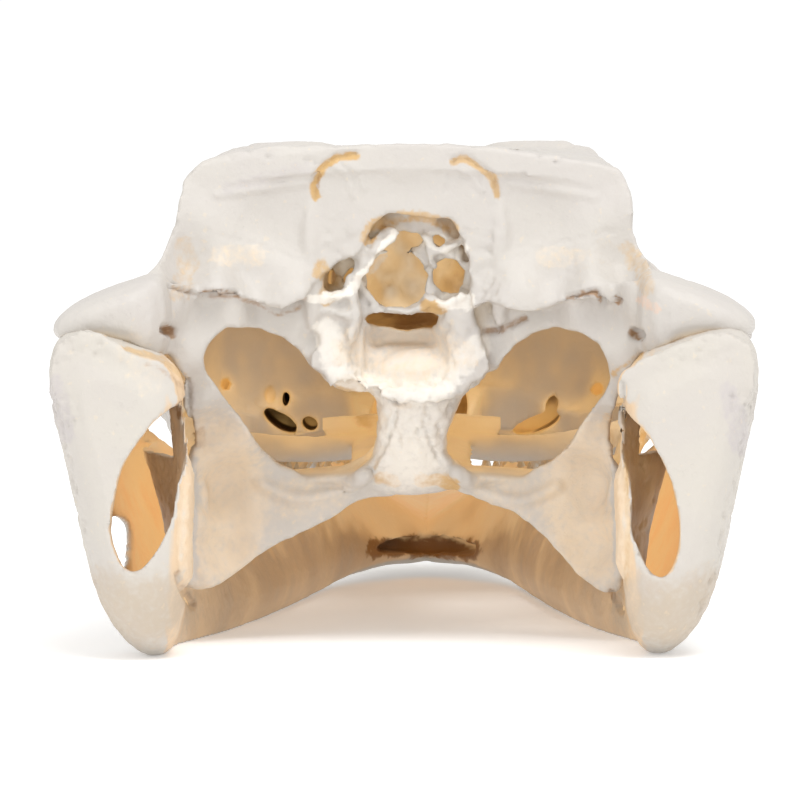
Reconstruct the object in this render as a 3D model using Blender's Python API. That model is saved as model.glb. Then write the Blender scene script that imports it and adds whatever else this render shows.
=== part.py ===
# Skull of a spectacled caiman with its lower jaw, as cleaned bone.
# The shapes are drawn in millimetres and scaled to metres by the driving dimensions.
# +Y runs to the snout, so the broken back of the braincase faces -Y. +Z is up.
# The origin is on the resting plane, under the middle of the whole skull.

import math

import bmesh
import bpy
import numpy as np
from mathutils import Matrix, Vector, geometry

# Driving dimensions in metres: across the jaw joints, snout tip to jaw joint, floor to skull table.
skullWidth = 0.111
skullLength = 0.223
skullHeight = 0.080

# Sizes below are in millimetres.
voxelSize = 0.8
craniumTriangles = 5600
mandibleTriangles = 3900
boneWall = 2.6
snoutWall = 3.2
jawWall = 2.4
jointGap = 0.6
keelWear = 0.45
ringSteps = 3
stationSteps = 3

boneColour = (0.80, 0.73, 0.62, 1.0)
jawColour = (0.78, 0.69, 0.55, 1.0)
boneRoughness = 0.55

# Outer hull of the skull, front to back. Each row: y, then the palate level at the midline,
# the tooth margin (x, z), the widest point of the side (x, z), the flank (x, z),
# the shoulder of the roof (x, z) and the level of the roof at the midline.
hullStations = [
    (110.8, 24.0, 4.0, 23.0, 5.0, 26.5, 4.5, 29.5, 3.0, 31.0, 31.5),
    (107.5, 22.5, 11.5, 21.0, 13.0, 26.0, 11.5, 31.0, 7.5, 34.5, 35.5),
    (101.0, 22.5, 17.5, 19.5, 19.5, 26.0, 17.5, 33.0, 11.0, 38.5, 39.5),
    (91.0, 23.5, 20.5, 18.5, 22.8, 26.0, 20.0, 34.5, 13.0, 40.0, 41.0),
    (79.0, 25.0, 21.2, 19.5, 23.2, 27.0, 20.4, 35.5, 13.2, 40.0, 41.5),
    (68.0, 26.0, 23.0, 21.3, 25.0, 29.0, 22.0, 37.0, 14.2, 41.0, 42.8),
    (54.0, 26.0, 26.6, 18.5, 28.5, 28.5, 24.5, 38.8, 16.0, 43.8, 45.8),
    (37.0, 27.5, 29.5, 20.5, 31.8, 31.0, 27.5, 43.0, 17.5, 49.0, 50.5),
    (20.0, 29.0, 32.5, 23.5, 35.0, 35.0, 30.5, 48.5, 19.5, 56.0, 58.0),
    (4.0, 30.0, 36.0, 26.0, 38.8, 39.5, 33.0, 55.0, 21.0, 63.5, 65.5),
    (-13.0, 31.0, 40.0, 30.0, 42.8, 43.5, 34.5, 60.0, 22.0, 70.0, 69.0),
    (-30.0, 32.0, 43.5, 35.0, 46.5, 46.0, 35.0, 62.0, 25.5, 75.5, 73.5),
    (-42.0, 32.5, 45.5, 38.0, 48.5, 47.2, 34.5, 62.0, 29.0, 77.8, 77.4),
    (-60.0, 33.0, 48.5, 42.5, 51.5, 49.0, 34.5, 62.0, 32.3, 78.2, 78.6),
    (-84.5, 36.0, 51.5, 46.5, 54.2, 50.5, 37.5, 62.0, 34.6, 77.4, 79.6),
]

# Lower jaw, right side, front to back. Each row: y, then (x, z) of the keel, the lower flank,
# the outer flank, the outer edge, the top, the inner edge, the inner flank and the inner keel.
jawStations = [
    (109.0, 3.0, 10.0, 6.0, 10.5, 8.5, 12.0, 8.0, 14.0, 6.0, 15.0, 2.5, 14.5, -1.0, 13.0, -1.0, 10.5),
    (104.0, 4.5, 7.5, 10.0, 8.6, 13.8, 11.5, 13.0, 15.0, 10.5, 16.0, 5.0, 14.5, -1.0, 13.0, -1.0, 8.0),
    (92.0, 6.5, 4.4, 13.0, 5.8, 17.6, 10.5, 16.6, 16.0, 14.0, 17.2, 9.5, 15.5, -1.0, 11.0, -1.0, 4.8),
    (79.0, 8.0, 2.8, 14.0, 4.2, 18.2, 10.0, 17.4, 17.0, 15.0, 18.5, 11.5, 17.5, -1.0, 8.5, -1.0, 3.2),
    (71.0, 11.0, 2.2, 16.0, 4.2, 19.2, 10.0, 18.2, 17.5, 16.0, 19.3, 13.2, 18.6, 8.0, 10.5, 3.0, 4.4),
    (55.0, 15.0, 1.2, 20.5, 4.0, 24.2, 10.5, 22.6, 16.0, 20.0, 17.6, 17.2, 17.2, 13.0, 11.0, 12.2, 4.6),
    (38.0, 18.5, 0.3, 24.5, 4.0, 28.2, 11.5, 25.8, 17.4, 23.2, 18.8, 20.4, 18.4, 16.5, 11.5, 15.3, 4.5),
    (10.0, 22.4, 0.0, 28.8, 5.0, 33.0, 13.5, 31.2, 20.2, 28.6, 21.8, 25.6, 21.2, 21.0, 12.0, 19.0, 4.6),
    (-20.0, 26.6, 0.0, 33.0, 6.5, 39.0, 17.0, 38.6, 23.0, 36.6, 25.2, 33.8, 24.4, 27.0, 13.5, 23.4, 5.0),
    (-50.0, 31.8, 0.0, 38.8, 7.5, 45.6, 23.0, 46.9, 30.5, 45.2, 33.4, 41.8, 32.4, 33.4, 17.0, 29.6, 5.4),
    (-75.0, 37.6, 0.0, 45.0, 7.5, 50.6, 26.0, 52.6, 38.5, 50.8, 42.0, 45.2, 40.6, 37.2, 22.0, 36.2, 6.0),
    (-92.0, 39.6, 0.0, 47.2, 7.5, 52.2, 27.0, 55.0, 43.0, 51.5, 49.4, 39.8, 47.4, 35.2, 34.0, 35.2, 6.8),
    (-101.0, 40.0, 1.0, 47.5, 8.5, 52.4, 28.0, 55.5, 45.0, 51.0, 51.4, 37.6, 47.4, 34.0, 38.5, 34.6, 8.0),
    (-106.5, 40.5, 3.6, 47.0, 10.0, 51.4, 28.0, 54.8, 45.0, 50.4, 50.8, 37.6, 46.0, 34.2, 38.5, 34.8, 9.6),
    (-110.0, 41.6, 8.6, 45.8, 13.0, 49.4, 28.0, 52.8, 43.0, 49.4, 48.2, 38.4, 44.0, 35.8, 37.5, 36.2, 12.4),
    (-111.5, 42.6, 14.6, 44.4, 17.0, 46.8, 28.0, 49.4, 40.5, 47.4, 44.2, 40.6, 41.4, 38.6, 36.0, 39.2, 17.0),
]

# Front and rear ends of the hollow in the lower jaw's back half.
fossaFront = -38.0
fossaBack = -109.0

# Outlines seen from behind, as (x, z).
occiputOutline = [
    (-34.9, 74.2), (-32.4, 76.3), (-28.8, 77.8), (-20.0, 79.0), (0.0, 79.6), (20.0, 79.0),
    (29.4, 77.8), (33.0, 76.2), (35.2, 73.9), (35.9, 69.5), (36.6, 65.0), (38.8, 61.0),
    (41.5, 58.2), (36.0, 55.0), (31.0, 55.4), (26.0, 55.0), (20.5, 53.2), (16.4, 54.4),
    (12.0, 52.0), (0.0, 50.5), (-13.0, 53.0), (-16.0, 54.6), (-20.0, 53.4), (-25.0, 55.0),
    (-31.0, 55.6), (-36.0, 55.0), (-41.2, 58.4), (-38.8, 61.2), (-36.6, 65.2), (-35.7, 69.5),
]
breakOutline = [
    (-3.3, 68.8), (0.8, 67.6), (6.8, 67.8), (8.4, 65.5), (9.6, 61.2), (10.0, 57.3), (9.6, 52.0),
    (8.0, 47.0), (-10.0, 47.0), (-12.8, 52.5), (-16.2, 55.0), (-14.2, 58.4), (-11.2, 61.0),
    (-8.2, 62.2), (-5.9, 66.3),
]
cheekOutline = [
    (-7.0, 54.5), (-15.0, 56.5), (-22.0, 55.8), (-30.0, 57.5), (-38.5, 58.5), (-41.0, 54.0),
    (-40.0, 50.0), (-38.6, 48.4), (-37.0, 46.8), (-34.8, 43.6), (-34.2, 39.0), (-33.6, 33.0),
    (-34.6, 29.5), (-35.2, 24.0), (-35.6, 17.0), (-35.0, 11.5), (-33.2, 9.4), (-30.5, 9.7),
    (-27.8, 11.4), (-24.4, 14.2), (-20.5, 16.6), (-15.8, 19.0), (-10.8, 21.6), (-6.2, 23.8),
    (-2.0, 24.0), (-2.0, 30.6), (-5.0, 31.6), (-4.2, 39.4), (-6.0, 41.0), (-6.6, 45.0),
]
windowOutline = [
    (-28.4, 50.8), (-23.7, 50.6), (-19.9, 49.3), (-16.9, 46.8), (-15.4, 44.8), (-12.6, 43.4),
    (-9.6, 41.6), (-7.2, 42.2), (-5.2, 41.6), (-4.0, 39.4), (-4.7, 33.0), (-6.2, 30.6),
    (-9.0, 28.7), (-12.0, 27.3), (-16.6, 26.8), (-20.8, 29.2), (-23.2, 31.8), (-25.4, 35.2),
    (-27.4, 38.4), (-29.6, 41.6), (-31.4, 44.4), (-31.6, 46.6), (-30.5, 49.2),
]
ringOutline = [
    (36.4, 39.0), (39.0, 36.2), (41.2, 32.6), (42.8, 28.6), (43.7, 24.0), (44.0, 19.8),
    (43.4, 16.8), (41.4, 14.2), (39.4, 14.8), (37.6, 17.6), (36.4, 20.8), (35.6, 24.4),
    (35.4, 28.0), (33.4, 31.6), (33.2, 36.0),
]

# Depth of the rear relief as (x, z, y): the cheek's quadrate band, strip and pterygoid wing.
cheekDepth = [
    (-38.0, 55.0, -96.0), (-30.0, 54.0, -89.0), (-20.0, 53.0, -83.0), (-10.0, 50.0, -79.0),
    (-36.0, 46.0, -93.0), (-33.5, 40.0, -87.0), (-31.0, 34.0, -78.0), (-35.0, 30.0, -77.0),
    (-35.0, 20.0, -76.0), (-34.0, 11.0, -75.0), (-29.0, 24.0, -70.0), (-28.0, 15.0, -72.0),
    (-20.0, 24.0, -69.0), (-10.0, 26.0, -68.0), (-3.0, 27.5, -67.0),
]

# Upper and lower tooth rows: y of the teeth, and length of each in millimetres.
upperTeeth = [
    (105.5, 3.0), (101.5, 3.6), (96.5, 4.8), (90.5, 5.4), (84.5, 3.8), (76.5, 2.8), (71.0, 3.2),
    (64.5, 4.6), (57.5, 6.0), (50.5, 5.2), (44.0, 4.2), (37.5, 3.8), (31.0, 3.6), (25.0, 3.4),
    (19.0, 3.2), (13.0, 3.0), (7.0, 2.8), (1.0, 2.5), (-5.0, 2.2),
]
lowerTeeth = [
    (104.0, 4.6), (99.0, 3.4), (94.0, 3.2), (87.0, 5.2), (80.0, 3.2), (74.0, 2.8), (67.0, 2.8),
    (61.0, 3.0), (53.0, 3.4), (46.0, 4.2), (40.0, 4.4), (34.0, 3.8), (28.0, 3.4), (22.0, 3.2),
    (16.0, 3.0), (10.0, 2.8), (4.0, 2.6), (-2.0, 2.4), (-8.0, 2.2),
]


# A smooth line through the points, with the given number of steps in each span.
def smoothLine(points, steps, closed=False):
    points = np.array(points, float)
    if closed:
        points = np.vstack([points[-1:], points, points[:2]])
    else:
        points = np.vstack([2 * points[0] - points[1], points, 2 * points[-1] - points[-2]])
    share = np.linspace(0, 1, steps, endpoint=False)[:, None]
    spans = []
    for a, b, c, d in zip(points, points[1:], points[2:], points[3:]):
        cubic = 3 * b - a - 3 * c + d
        square = 2 * a - 5 * b + 4 * c - d
        spans.append(0.5 * (2 * b + (c - a) * share + square * share**2 + cubic * share**3))
    line = np.vstack(spans)
    return line if closed else np.vstack([line, points[-2]])


def meshObject(name, points, faces):
    mesh = bpy.data.meshes.new(name)
    mesh.from_pydata([tuple(point) for point in points], [], faces)
    tidy = bmesh.new()
    tidy.from_mesh(mesh)
    bmesh.ops.recalc_face_normals(tidy, faces=tidy.faces)
    tidy.to_mesh(mesh)
    tidy.free()
    thing = bpy.data.objects.new(name, mesh)
    bpy.context.scene.collection.objects.link(thing)
    return thing


# A closed skin over rings of equal length, with flat ends.
def loft(name, rings):
    size = len(rings[0])
    points = np.vstack(rings)
    faces = []
    for row in range(len(rings) - 1):
        for k in range(size):
            after = (k + 1) % size
            low = row * size
            high = low + size
            faces.append((low + k, low + after, high + after, high + k))
    faces.append(tuple(range(size)))
    faces.append(tuple(range(len(points) - size, len(points))))
    return meshObject(name, points, faces)


# A bone of elliptical section along a path. Sizes are (half width, half thickness) at each point,
# and the width lies along the given direction. Both ends are rounded.
def stroke(name, path, sizes, across=(1, 0, 0), sides=12, steps=4):
    line = smoothLine([tuple(p) + tuple(s) for p, s in zip(path, sizes)], steps)
    places, halves = line[:, :3], line[:, 3:]
    tangents = np.gradient(places, axis=0)
    tangents /= np.linalg.norm(tangents, axis=1)[:, None]
    angles = np.linspace(0, 2 * math.pi, sides, endpoint=False)
    rings = []

    def ring(place, tangent, half):
        wide = np.array(across, float)
        wide -= tangent * wide.dot(tangent)
        wide /= np.linalg.norm(wide)
        thick = np.cross(tangent, wide)
        side = np.outer(np.cos(angles) * half[0], wide)
        rings.append(place + side + np.outer(np.sin(angles) * half[1], thick))

    for turn in (1.35, 0.9, 0.45):
        back = places[0] - tangents[0] * halves[0].min() * math.sin(turn)
        ring(back, tangents[0], halves[0] * math.cos(turn))
    for place, tangent, half in zip(places, tangents, halves):
        ring(place, tangent, half)
    for turn in (0.45, 0.9, 1.35):
        ahead = places[-1] + tangents[-1] * halves[-1].min() * math.sin(turn)
        ring(ahead, tangents[-1], halves[-1] * math.cos(turn))
    return loft(name, rings)


def inside(point, outline):
    x, z = point
    crossings = False
    for (ax, az), (bx, bz) in zip(outline, np.roll(outline, -1, axis=0)):
        if (az > z) != (bz > z) and x < ax + (z - az) / (bz - az) * (bx - ax):
            crossings = not crossings
    return crossings


# Depth between given points (x, z, y), each weighing less the further away it is.
def depthFrom(points):
    points = np.array(points, float)

    def depth(x, z):
        weight = 1 / ((points[:, 0] - x) ** 2 + (points[:, 1] - z) ** 2 + 4.0) ** 2
        return float((weight * points[:, 2]).sum() / weight.sum())

    return depth


# A plate seen from behind: an outline in x and z, with holes, laid at a depth y and thickened.
def relief(name, outline, depth, thickness, holes=(), spacing=2.0):
    edges = []
    flat = []
    loops = [np.array(outline, float)] + [np.array(hole, float) for hole in holes]
    for line in loops:
        start = len(flat)
        flat += [tuple(point) for point in line]
        edges += [(start + k, start + (k + 1) % len(line)) for k in range(len(line))]
    low, high = loops[0].min(0), loops[0].max(0)
    for x in np.arange(low[0] + spacing / 2, high[0], spacing):
        for z in np.arange(low[1] + spacing / 2, high[1], spacing):
            if inside((x, z), loops[0]) and not any(inside((x, z), h) for h in loops[1:]):
                flat.append((x, z))
    flat = [Vector(point) for point in flat]
    found = geometry.delaunay_2d_cdt(flat, edges, [], 0, 1e-4)
    places, faces = found[0], []
    for face in found[2]:
        middle = sum((places[k] for k in face), Vector((0, 0))) / len(face)
        if inside(middle, loops[0]) and not any(inside(middle, hole) for hole in loops[1:]):
            faces.append(tuple(face))
    plate = bmesh.new()
    corners = [plate.verts.new((p.x, depth(p.x, p.y), p.y)) for p in places]
    for face in faces:
        plate.faces.new([corners[k] for k in face])
    bmesh.ops.delete(plate, geom=[v for v in plate.verts if not v.link_faces], context="VERTS")
    grown = bmesh.ops.extrude_face_region(plate, geom=list(plate.faces))
    for item in grown["geom"]:
        if isinstance(item, bmesh.types.BMVert):
            item.co.y += thickness
    bmesh.ops.recalc_face_normals(plate, faces=plate.faces)
    mesh = bpy.data.meshes.new(name)
    plate.to_mesh(mesh)
    plate.free()
    thing = bpy.data.objects.new(name, mesh)
    bpy.context.scene.collection.objects.link(thing)
    return thing


# A prism over an outline, which runs along one axis between two levels.
def prism(name, outline, axis, low, high):
    rings = []
    for level in (low, high):
        rings.append(np.array([np.insert(point, axis, level) for point in np.array(outline, float)]))
    return loft(name, rings)


def ellipse(centre, halves, turn=0.0, sides=20):
    angles = np.linspace(0, 2 * math.pi, sides, endpoint=False)
    a, b = halves[0] * np.cos(angles), halves[1] * np.sin(angles)
    c, s = math.cos(turn), math.sin(turn)
    return np.stack([centre[0] + a * c - b * s, centre[1] + a * s + b * c], 1)


# Replaces an object's mesh by what its modifiers make of it.
def settle(thing):
    graph = bpy.context.evaluated_depsgraph_get()
    made = bpy.data.meshes.new_from_object(thing.evaluated_get(graph))
    thing.modifiers.clear()
    thing.data = made
    return thing


def cut(thing, cutters):
    for cutter in cutters:
        step = thing.modifiers.new("cut", "BOOLEAN")
        step.operation = "DIFFERENCE"
        step.solver = "EXACT"
        step.object = cutter
        settle(thing)
        bpy.data.objects.remove(cutter)
    return thing


# Joins closed bodies that overlap into one skin of even cells.
def fuse(name, things):
    joined = bmesh.new()
    for thing in things:
        joined.from_mesh(thing.data)
        bpy.data.objects.remove(thing)
    mesh = bpy.data.meshes.new(name)
    joined.to_mesh(mesh)
    joined.free()
    whole = bpy.data.objects.new(name, mesh)
    bpy.context.scene.collection.objects.link(whole)
    step = whole.modifiers.new("skin", "REMESH")
    step.mode = "VOXEL"
    step.voxel_size = voxelSize
    return settle(whole)


# Leaves only the largest of the bodies in an object.
def largestPiece(thing):
    body = bmesh.new()
    body.from_mesh(thing.data)
    waiting = set(body.verts)
    groups = []
    while waiting:
        group = set()
        edge = [waiting.pop()]
        while edge:
            vert = edge.pop()
            group.add(vert)
            near = [link.other_vert(vert) for link in vert.link_edges]
            fresh = [other for other in near if other in waiting]
            waiting.difference_update(fresh)
            edge += fresh
        groups.append(group)
    groups.sort(key=len)
    for group in groups[:-1]:
        bmesh.ops.delete(body, geom=list(group), context="VERTS")
    body.to_mesh(thing.data)
    body.free()
    return thing


def mirrored(thing):
    copy = thing.data.copy()
    copy.transform(Matrix.Scale(-1, 4, (1, 0, 0)))
    copy.flip_normals()
    twin = bpy.data.objects.new(thing.name + "Other", copy)
    bpy.context.scene.collection.objects.link(twin)
    return twin


def both(thing):
    return [thing, mirrored(thing)]


# Value of a hull column at a place along the skull.
def hullAt(y, column):
    rows = np.array(hullStations)[::-1]
    return float(np.interp(y, rows[:, 0], rows[:, column]))


def jawAt(y, column):
    rows = np.array(jawStations)[::-1]
    return float(np.interp(y, rows[:, 0], rows[:, column]))


def hullRing(row):
    y, palate, xe, ze, xs, zs, xn, zn, xt, zt, roof = row
    half = [
        (0.45 * xe, palate), (xe - 0.26 * xe, 0.5 * (palate + ze) + 0.8), (xe - 0.1 * xe, ze),
        (xe, ze + 1.2), (xs, zs), (xn, zn), (xt, zt), (0.5 * xt, 0.5 * (zt + roof) + 0.3),
    ]
    loop = [(0.0, palate)] + half + [(0.0, roof)] + [(-x, z) for x, z in half[::-1]]
    return np.insert(smoothLine(loop, ringSteps, closed=True), 1, y, axis=1)


def hullSkin(name):
    rows = smoothLine(hullStations, stationSteps)
    return loft(name, [hullRing(row) for row in rows])


# The space inside the cheeks and under the roof, open at the back.
def hullHollow():
    rings = []
    for y in (14.0, 8.0, -2.0, -14.0, -28.0, -42.0, -56.0, -70.0, -84.0, -92.0):
        values = [hullAt(y, column) for column in range(1, 11)]
        palate, xe, ze, xs, zs, xn, zn, xt, zt, roof = values
        shrink = min(1.0, (18.0 - y) / 16.0)
        mid = 0.5 * (palate + roof)
        half = [
            (0.45 * xe, palate + boneWall), (xe - 4.5, 0.5 * (ze + zs)), (xs - boneWall, zs + 1.5),
            (xn - 2.2, zn), (xt - boneWall, zt - 5.0), (0.5 * xt, 0.5 * (zt + roof) - 3.8),
        ]
        loop = [(0.0, palate + boneWall)] + half + [(0.0, roof - 4.0)]
        loop += [(-x, z) for x, z in half[::-1]]
        loop = [(x * shrink, mid + (z - mid) * shrink) for x, z in loop]
        rings.append(np.insert(smoothLine(loop, ringSteps, closed=True), 1, y, axis=1))
    return loft("hollow", rings)


# The nasal chamber, which opens at the nostril and by two passages into the space behind.
def snoutHollow():
    rings = []
    for y, shrink in ((17.0, 0.7), (22.0, 0.95), (40.0, 1.0), (60.0, 1.0), (80.0, 1.0), (93.0, 0.95),
                      (98.0, 0.7)):
        palate, xe, ze, xs, zs, xn, zn, xt, zt, roof = [hullAt(y, k) for k in range(1, 11)]
        base = palate + snoutWall
        middle = np.array((0.0, 0.5 * (base + roof)))
        half = [(0.8 * xe - snoutWall, base), (xs - snoutWall, zs + 1.0), (xn - snoutWall, zn),
                (xt - 1.5, zt - snoutWall)]
        loop = [(0.0, base)] + half + [(0.0, roof - snoutWall)] + [(-x, z) for x, z in half[::-1]]
        loop = middle + (np.array(loop) - middle) * shrink
        rings.append(np.insert(smoothLine(loop, ringSteps, closed=True), 1, y, axis=1))
    return loft("nasalChamber", rings)


# Openings of the skull's roof, cheeks and palate.
def hullOpenings():
    cutters = []
    orbit = prism("orbit", ellipse((20.5, -17.5), (13.2, 19.0), -0.12, 28), 2, 46.0, 90.0)
    cutters += both(orbit)
    cheek = [(-46.0, 51.5), (-44.0, 60.0), (-52.0, 63.5), (-66.0, 60.0), (-74.0, 56.5), (-62.0, 53.5)]
    cutters += both(prism("cheekGap", smoothLine(cheek, 4, closed=True), 0, 30.0, 60.0))
    upper = ellipse((14.0, -60.0), (5.0, 7.6), 0.25)
    cutters += both(prism("upperGap", upper, 2, 66.0, 90.0))
    palate = [(12.0, 17.0), (20.0, 15.0), (29.0, 3.0), (35.0, -15.0), (37.0, -32.0), (30.0, -44.0),
              (16.0, -44.0), (9.5, -30.0), (9.0, -8.0), (9.5, 8.0)]
    cutters += both(prism("palateGap", smoothLine(palate, 3, closed=True), 2, 10.0, 44.0))
    nostril = smoothLine([(0, 99), (6.5, 96), (7.5, 90), (4.5, 85), (0, 83.5), (-4.5, 85),
                          (-7.5, 90), (-6.5, 96)], 3, closed=True)
    cutters.append(prism("nostril", nostril, 2, 29.0, 60.0))
    cutters += both(prism("passage", ellipse((11.5, 42.0), (4.0, 5.0), 0.5), 1, 4.0, 24.0))
    under = [(-44.5, -100.0), (44.5, -100.0), (42.0, -60.0), (38.5, -43.0), (-38.5, -43.0),
             (-42.0, -60.0)]
    cutters.append(prism("underGap", under, 2, 0.0, 47.0))
    return cutters


# Raised parts of the roof: brow rims, the bridge between the eyes and the nostril's rim.
def roofRidges():
    ridges = []
    for side in (-1, 1):
        brow = [(side * 19.0, 6.0, 63.0), (side * 11.0, 0.0, 66.5), (side * 8.5, -12.0, 70.5),
                (side * 9.5, -24.0, 74.0), (side * 15.0, -35.5, 76.6), (side * 25.0, -40.5, 76.8)]
        sizes = [(2.2, 1.8), (2.6, 2.0), (2.6, 2.2), (2.4, 2.2), (2.8, 2.2), (2.6, 2.2)]
        ridges.append(stroke("brow", brow, sizes))
        outer = [(side * 19.0, 6.0, 62.0), (side * 28.0, 1.5, 58.5), (side * 34.0, -10.0, 56.0),
                 (side * 36.5, -24.0, 55.5), (side * 34.5, -38.0, 58.0), (side * 29.0, -43.0, 68.0),
                 (side * 28.0, -43.0, 76.0)]
        sizes = [(2.0, 2.0), (2.2, 2.0), (2.2, 2.2), (2.4, 2.2), (2.6, 2.4), (2.4, 2.4), (2.8, 2.2)]
        ridges.append(stroke("eyeRim", outer, sizes))
        edge = [(side * 28.0, -41.0, 76.8), (side * 31.0, -58.0, 76.6), (side * 33.2, -82.0, 74.4)]
        ridges.append(stroke("tableEdge", edge, [(2.4, 2.0), (2.6, 2.2), (2.6, 2.8)]))
        jugal = [(side * 37.5, 0.0, 34.0), (side * 42.5, -20.0, 40.0), (side * 47.5, -45.0, 45.5),
                 (side * 50.8, -70.0, 49.2), (side * 51.5, -88.0, 51.4)]
        sizes = [(1.8, 5.0), (1.8, 5.0), (1.9, 4.4), (2.0, 4.0), (2.2, 3.0)]
        ridges.append(stroke("jugal", jugal, sizes))
    bridge = [(-19.0, 6.0, 62.8), (-8.0, 8.5, 65.0), (0.0, 7.0, 66.4), (8.0, 8.5, 65.0),
              (19.0, 6.0, 62.8)]
    ridges.append(stroke("bridge", bridge, [(1.6, 1.8)] * 5, across=(0, 1, 0)))
    rim = [(0.0, 100.5, 39.0), (7.0, 97.5, 39.0), (9.0, 91.0, 39.8), (6.0, 84.5, 40.4),
           (0.0, 82.2, 41.0), (-6.0, 84.5, 40.4), (-9.0, 91.0, 39.8), (-7.0, 97.5, 39.0),
           (0.0, 100.5, 39.0)]
    ridges.append(stroke("nostrilRim", rim, [(1.7, 1.7)] * 9, across=(0, 0, 1)))
    return ridges


# The quadrate of one side: a wedge that runs back and out from the braincase to the jaw joint.
def quadrate():
    rings = []
    stations = [
        (-62.0, 0.45, 3.4), (-70.0, 0.72, 2.2), (-79.0, 0.94, 0.9), (-88.0, 1.0, 0.0),
        (-97.0, 0.98, 0.0), (-101.5, 0.9, 0.2), (-104.0, 0.68, 0.4), (-105.2, 0.34, 0.6),
    ]
    section = [(-37.5, 59.5), (-44.0, 58.4), (-51.0, 55.6), (-54.8, 52.6), (-54.4, 49.8),
               (-48.0, 49.0), (-42.0, 48.0), (-38.0, 46.8), (-36.4, 52.0)]
    middle = np.array((-45.0, 54.6))
    for y, size, drop in stations:
        loop = middle + (np.array(section) - middle) * size - np.array((0, drop))
        rings.append(np.insert(smoothLine(loop, ringSteps, closed=True), 1, y, axis=1))
    return loft("quadrate", rings)


# The broken braincase: side walls, roof, the thin septa of its air cells and the floor's basin.
def braincase():
    pieces = []
    for side in (-1, 1):
        wall = [(side * 15.0, -82.0, 62.0), (side * 14.0, -72.0, 62.0), (side * 12.0, -60.0, 62.0),
                (side * 9.0, -48.0, 64.0), (side * 6.0, -38.0, 68.0)]
        sizes = [(2.0, 12.0), (2.0, 13.0), (1.9, 13.0), (1.8, 11.0), (1.5, 6.0)]
        pieces.append(stroke("sideWall", wall, sizes))
    floor = [(0.0, -76.0, 46.0), (0.0, -64.0, 48.0), (0.0, -50.0, 54.0), (0.0, -40.0, 62.0)]
    pieces.append(stroke("floor", floor, [(14.0, 1.8), (13.0, 1.8), (9.0, 1.8), (5.0, 2.0)]))
    septa = smoothLine(breakOutline, 1, closed=True)
    holes = [
        ellipse((-1.7, 58.0), (4.5, 4.3)), ellipse((6.2, 58.8), (2.3, 2.1)),
        ellipse((0.2, 51.2), (3.0, 1.3)), ellipse((-10.5, 58.2), (2.0, 2.6), -0.6),
        ellipse((1.5, 64.6), (3.2, 1.6)),
    ]
    wide = np.array((-0.5, 58.0)) + (septa - np.array((-0.5, 58.0))) * 1.12
    pieces.append(relief("septa", wide, lambda x, z: -77.0 + 0.06 * (z - 55.0), 1.9, holes))
    basin = [(-14.5, 47.5), (-15.2, 43.5), (-12.2, 42.4), (-9.8, 40.8), (-7.4, 41.4), (-5.0, 39.6),
             (0.0, 40.0), (7.5, 41.0), (9.6, 45.0), (10.4, 49.5), (9.0, 52.6), (3.0, 50.4),
             (-4.0, 50.2), (-9.5, 52.6), (-13.6, 51.8)]

    def bowl(x, z):
        return -80.0 + 6.0 * math.exp(-(((x + 1.3) / 6.0) ** 2) - ((z - 47.0) / 4.2) ** 2)

    pieces.append(relief("basin", basin, bowl, 2.4, spacing=1.5))
    column = [(0.8, -75.0, 45.0), (1.6, -73.5, 40.0), (0.8, -72.0, 35.0), (0.4, -70.0, 30.0),
              (0.4, -68.0, 26.0)]
    sizes = [(8.0, 4.0), (6.3, 4.2), (5.2, 3.8), (5.4, 3.2), (8.0, 2.6)]
    pieces.append(stroke("column", column, sizes))
    return pieces


# The pterygoid's body, its bars to the cheeks and the plate that runs forward to the palate.
def palateBones():
    pieces = []
    body = [(0.4, -68.0, 26.0), (0.2, -58.0, 27.5), (0.0, -44.0, 30.6), (0.0, -34.0, 32.6)]
    pieces.append(stroke("pterygoid", body, [(12.0, 2.2), (10.0, 2.4), (10.0, 1.8), (9.0, 1.6)]))
    for side in (-1, 1):
        bar = [(side * 33.0, -72.0, 22.0), (side * 34.0, -60.0, 26.0), (side * 36.0, -44.0, 31.0),
               (side * 39.0, -26.0, 34.0)]
        sizes = [(1.6, 6.0), (1.7, 4.4), (2.0, 3.0), (2.0, 3.6)]
        pieces.append(stroke("ectopterygoid", bar, sizes))
        roof = [(side * 5.0, -66.0, 27.0), (side * 16.0, -62.0, 26.0), (side * 26.0, -62.0, 25.0),
                (side * 33.0, -64.0, 23.0)]
        sizes = [(7.0, 1.4), (7.0, 1.4), (7.0, 1.4), (5.0, 1.4)]
        pieces.append(stroke("wingRoof", roof, sizes, across=(0, 1, 0)))
    return pieces


def tooth(name, root, tip, radius):
    root, tip = np.array(root, float), np.array(tip, float)
    bend = (root + tip) / 2 + np.array((0, -0.15 * radius, 0))
    path = [root - (tip - root) * 0.4, root, bend, tip]
    sizes = [(radius, radius), (radius, radius), (radius * 0.72, radius * 0.72), (0.22, 0.22)]
    return stroke(name, path, sizes, across=(0, 1, 0), sides=7, steps=1)


def toothRows(rows, upper):
    teeth = []
    for y, length in rows:
        radius = 0.85 + 0.14 * length
        for side in (-1, 1):
            if upper:
                x, z = hullAt(y, 2) * 0.93, hullAt(y, 3) + 0.6
                root, tip = (side * x, y, z), (side * (x + 0.3), y + 0.3, z - 0.6 - length)
            else:
                x, z = jawAt(y, 9), jawAt(y, 10) - 0.4
                root, tip = (side * x, y, z), (side * (x - 0.1), y + 0.4, z + 0.4 + length)
            teeth.append(tooth("tooth", root, tip, radius))
    return teeth


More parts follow.
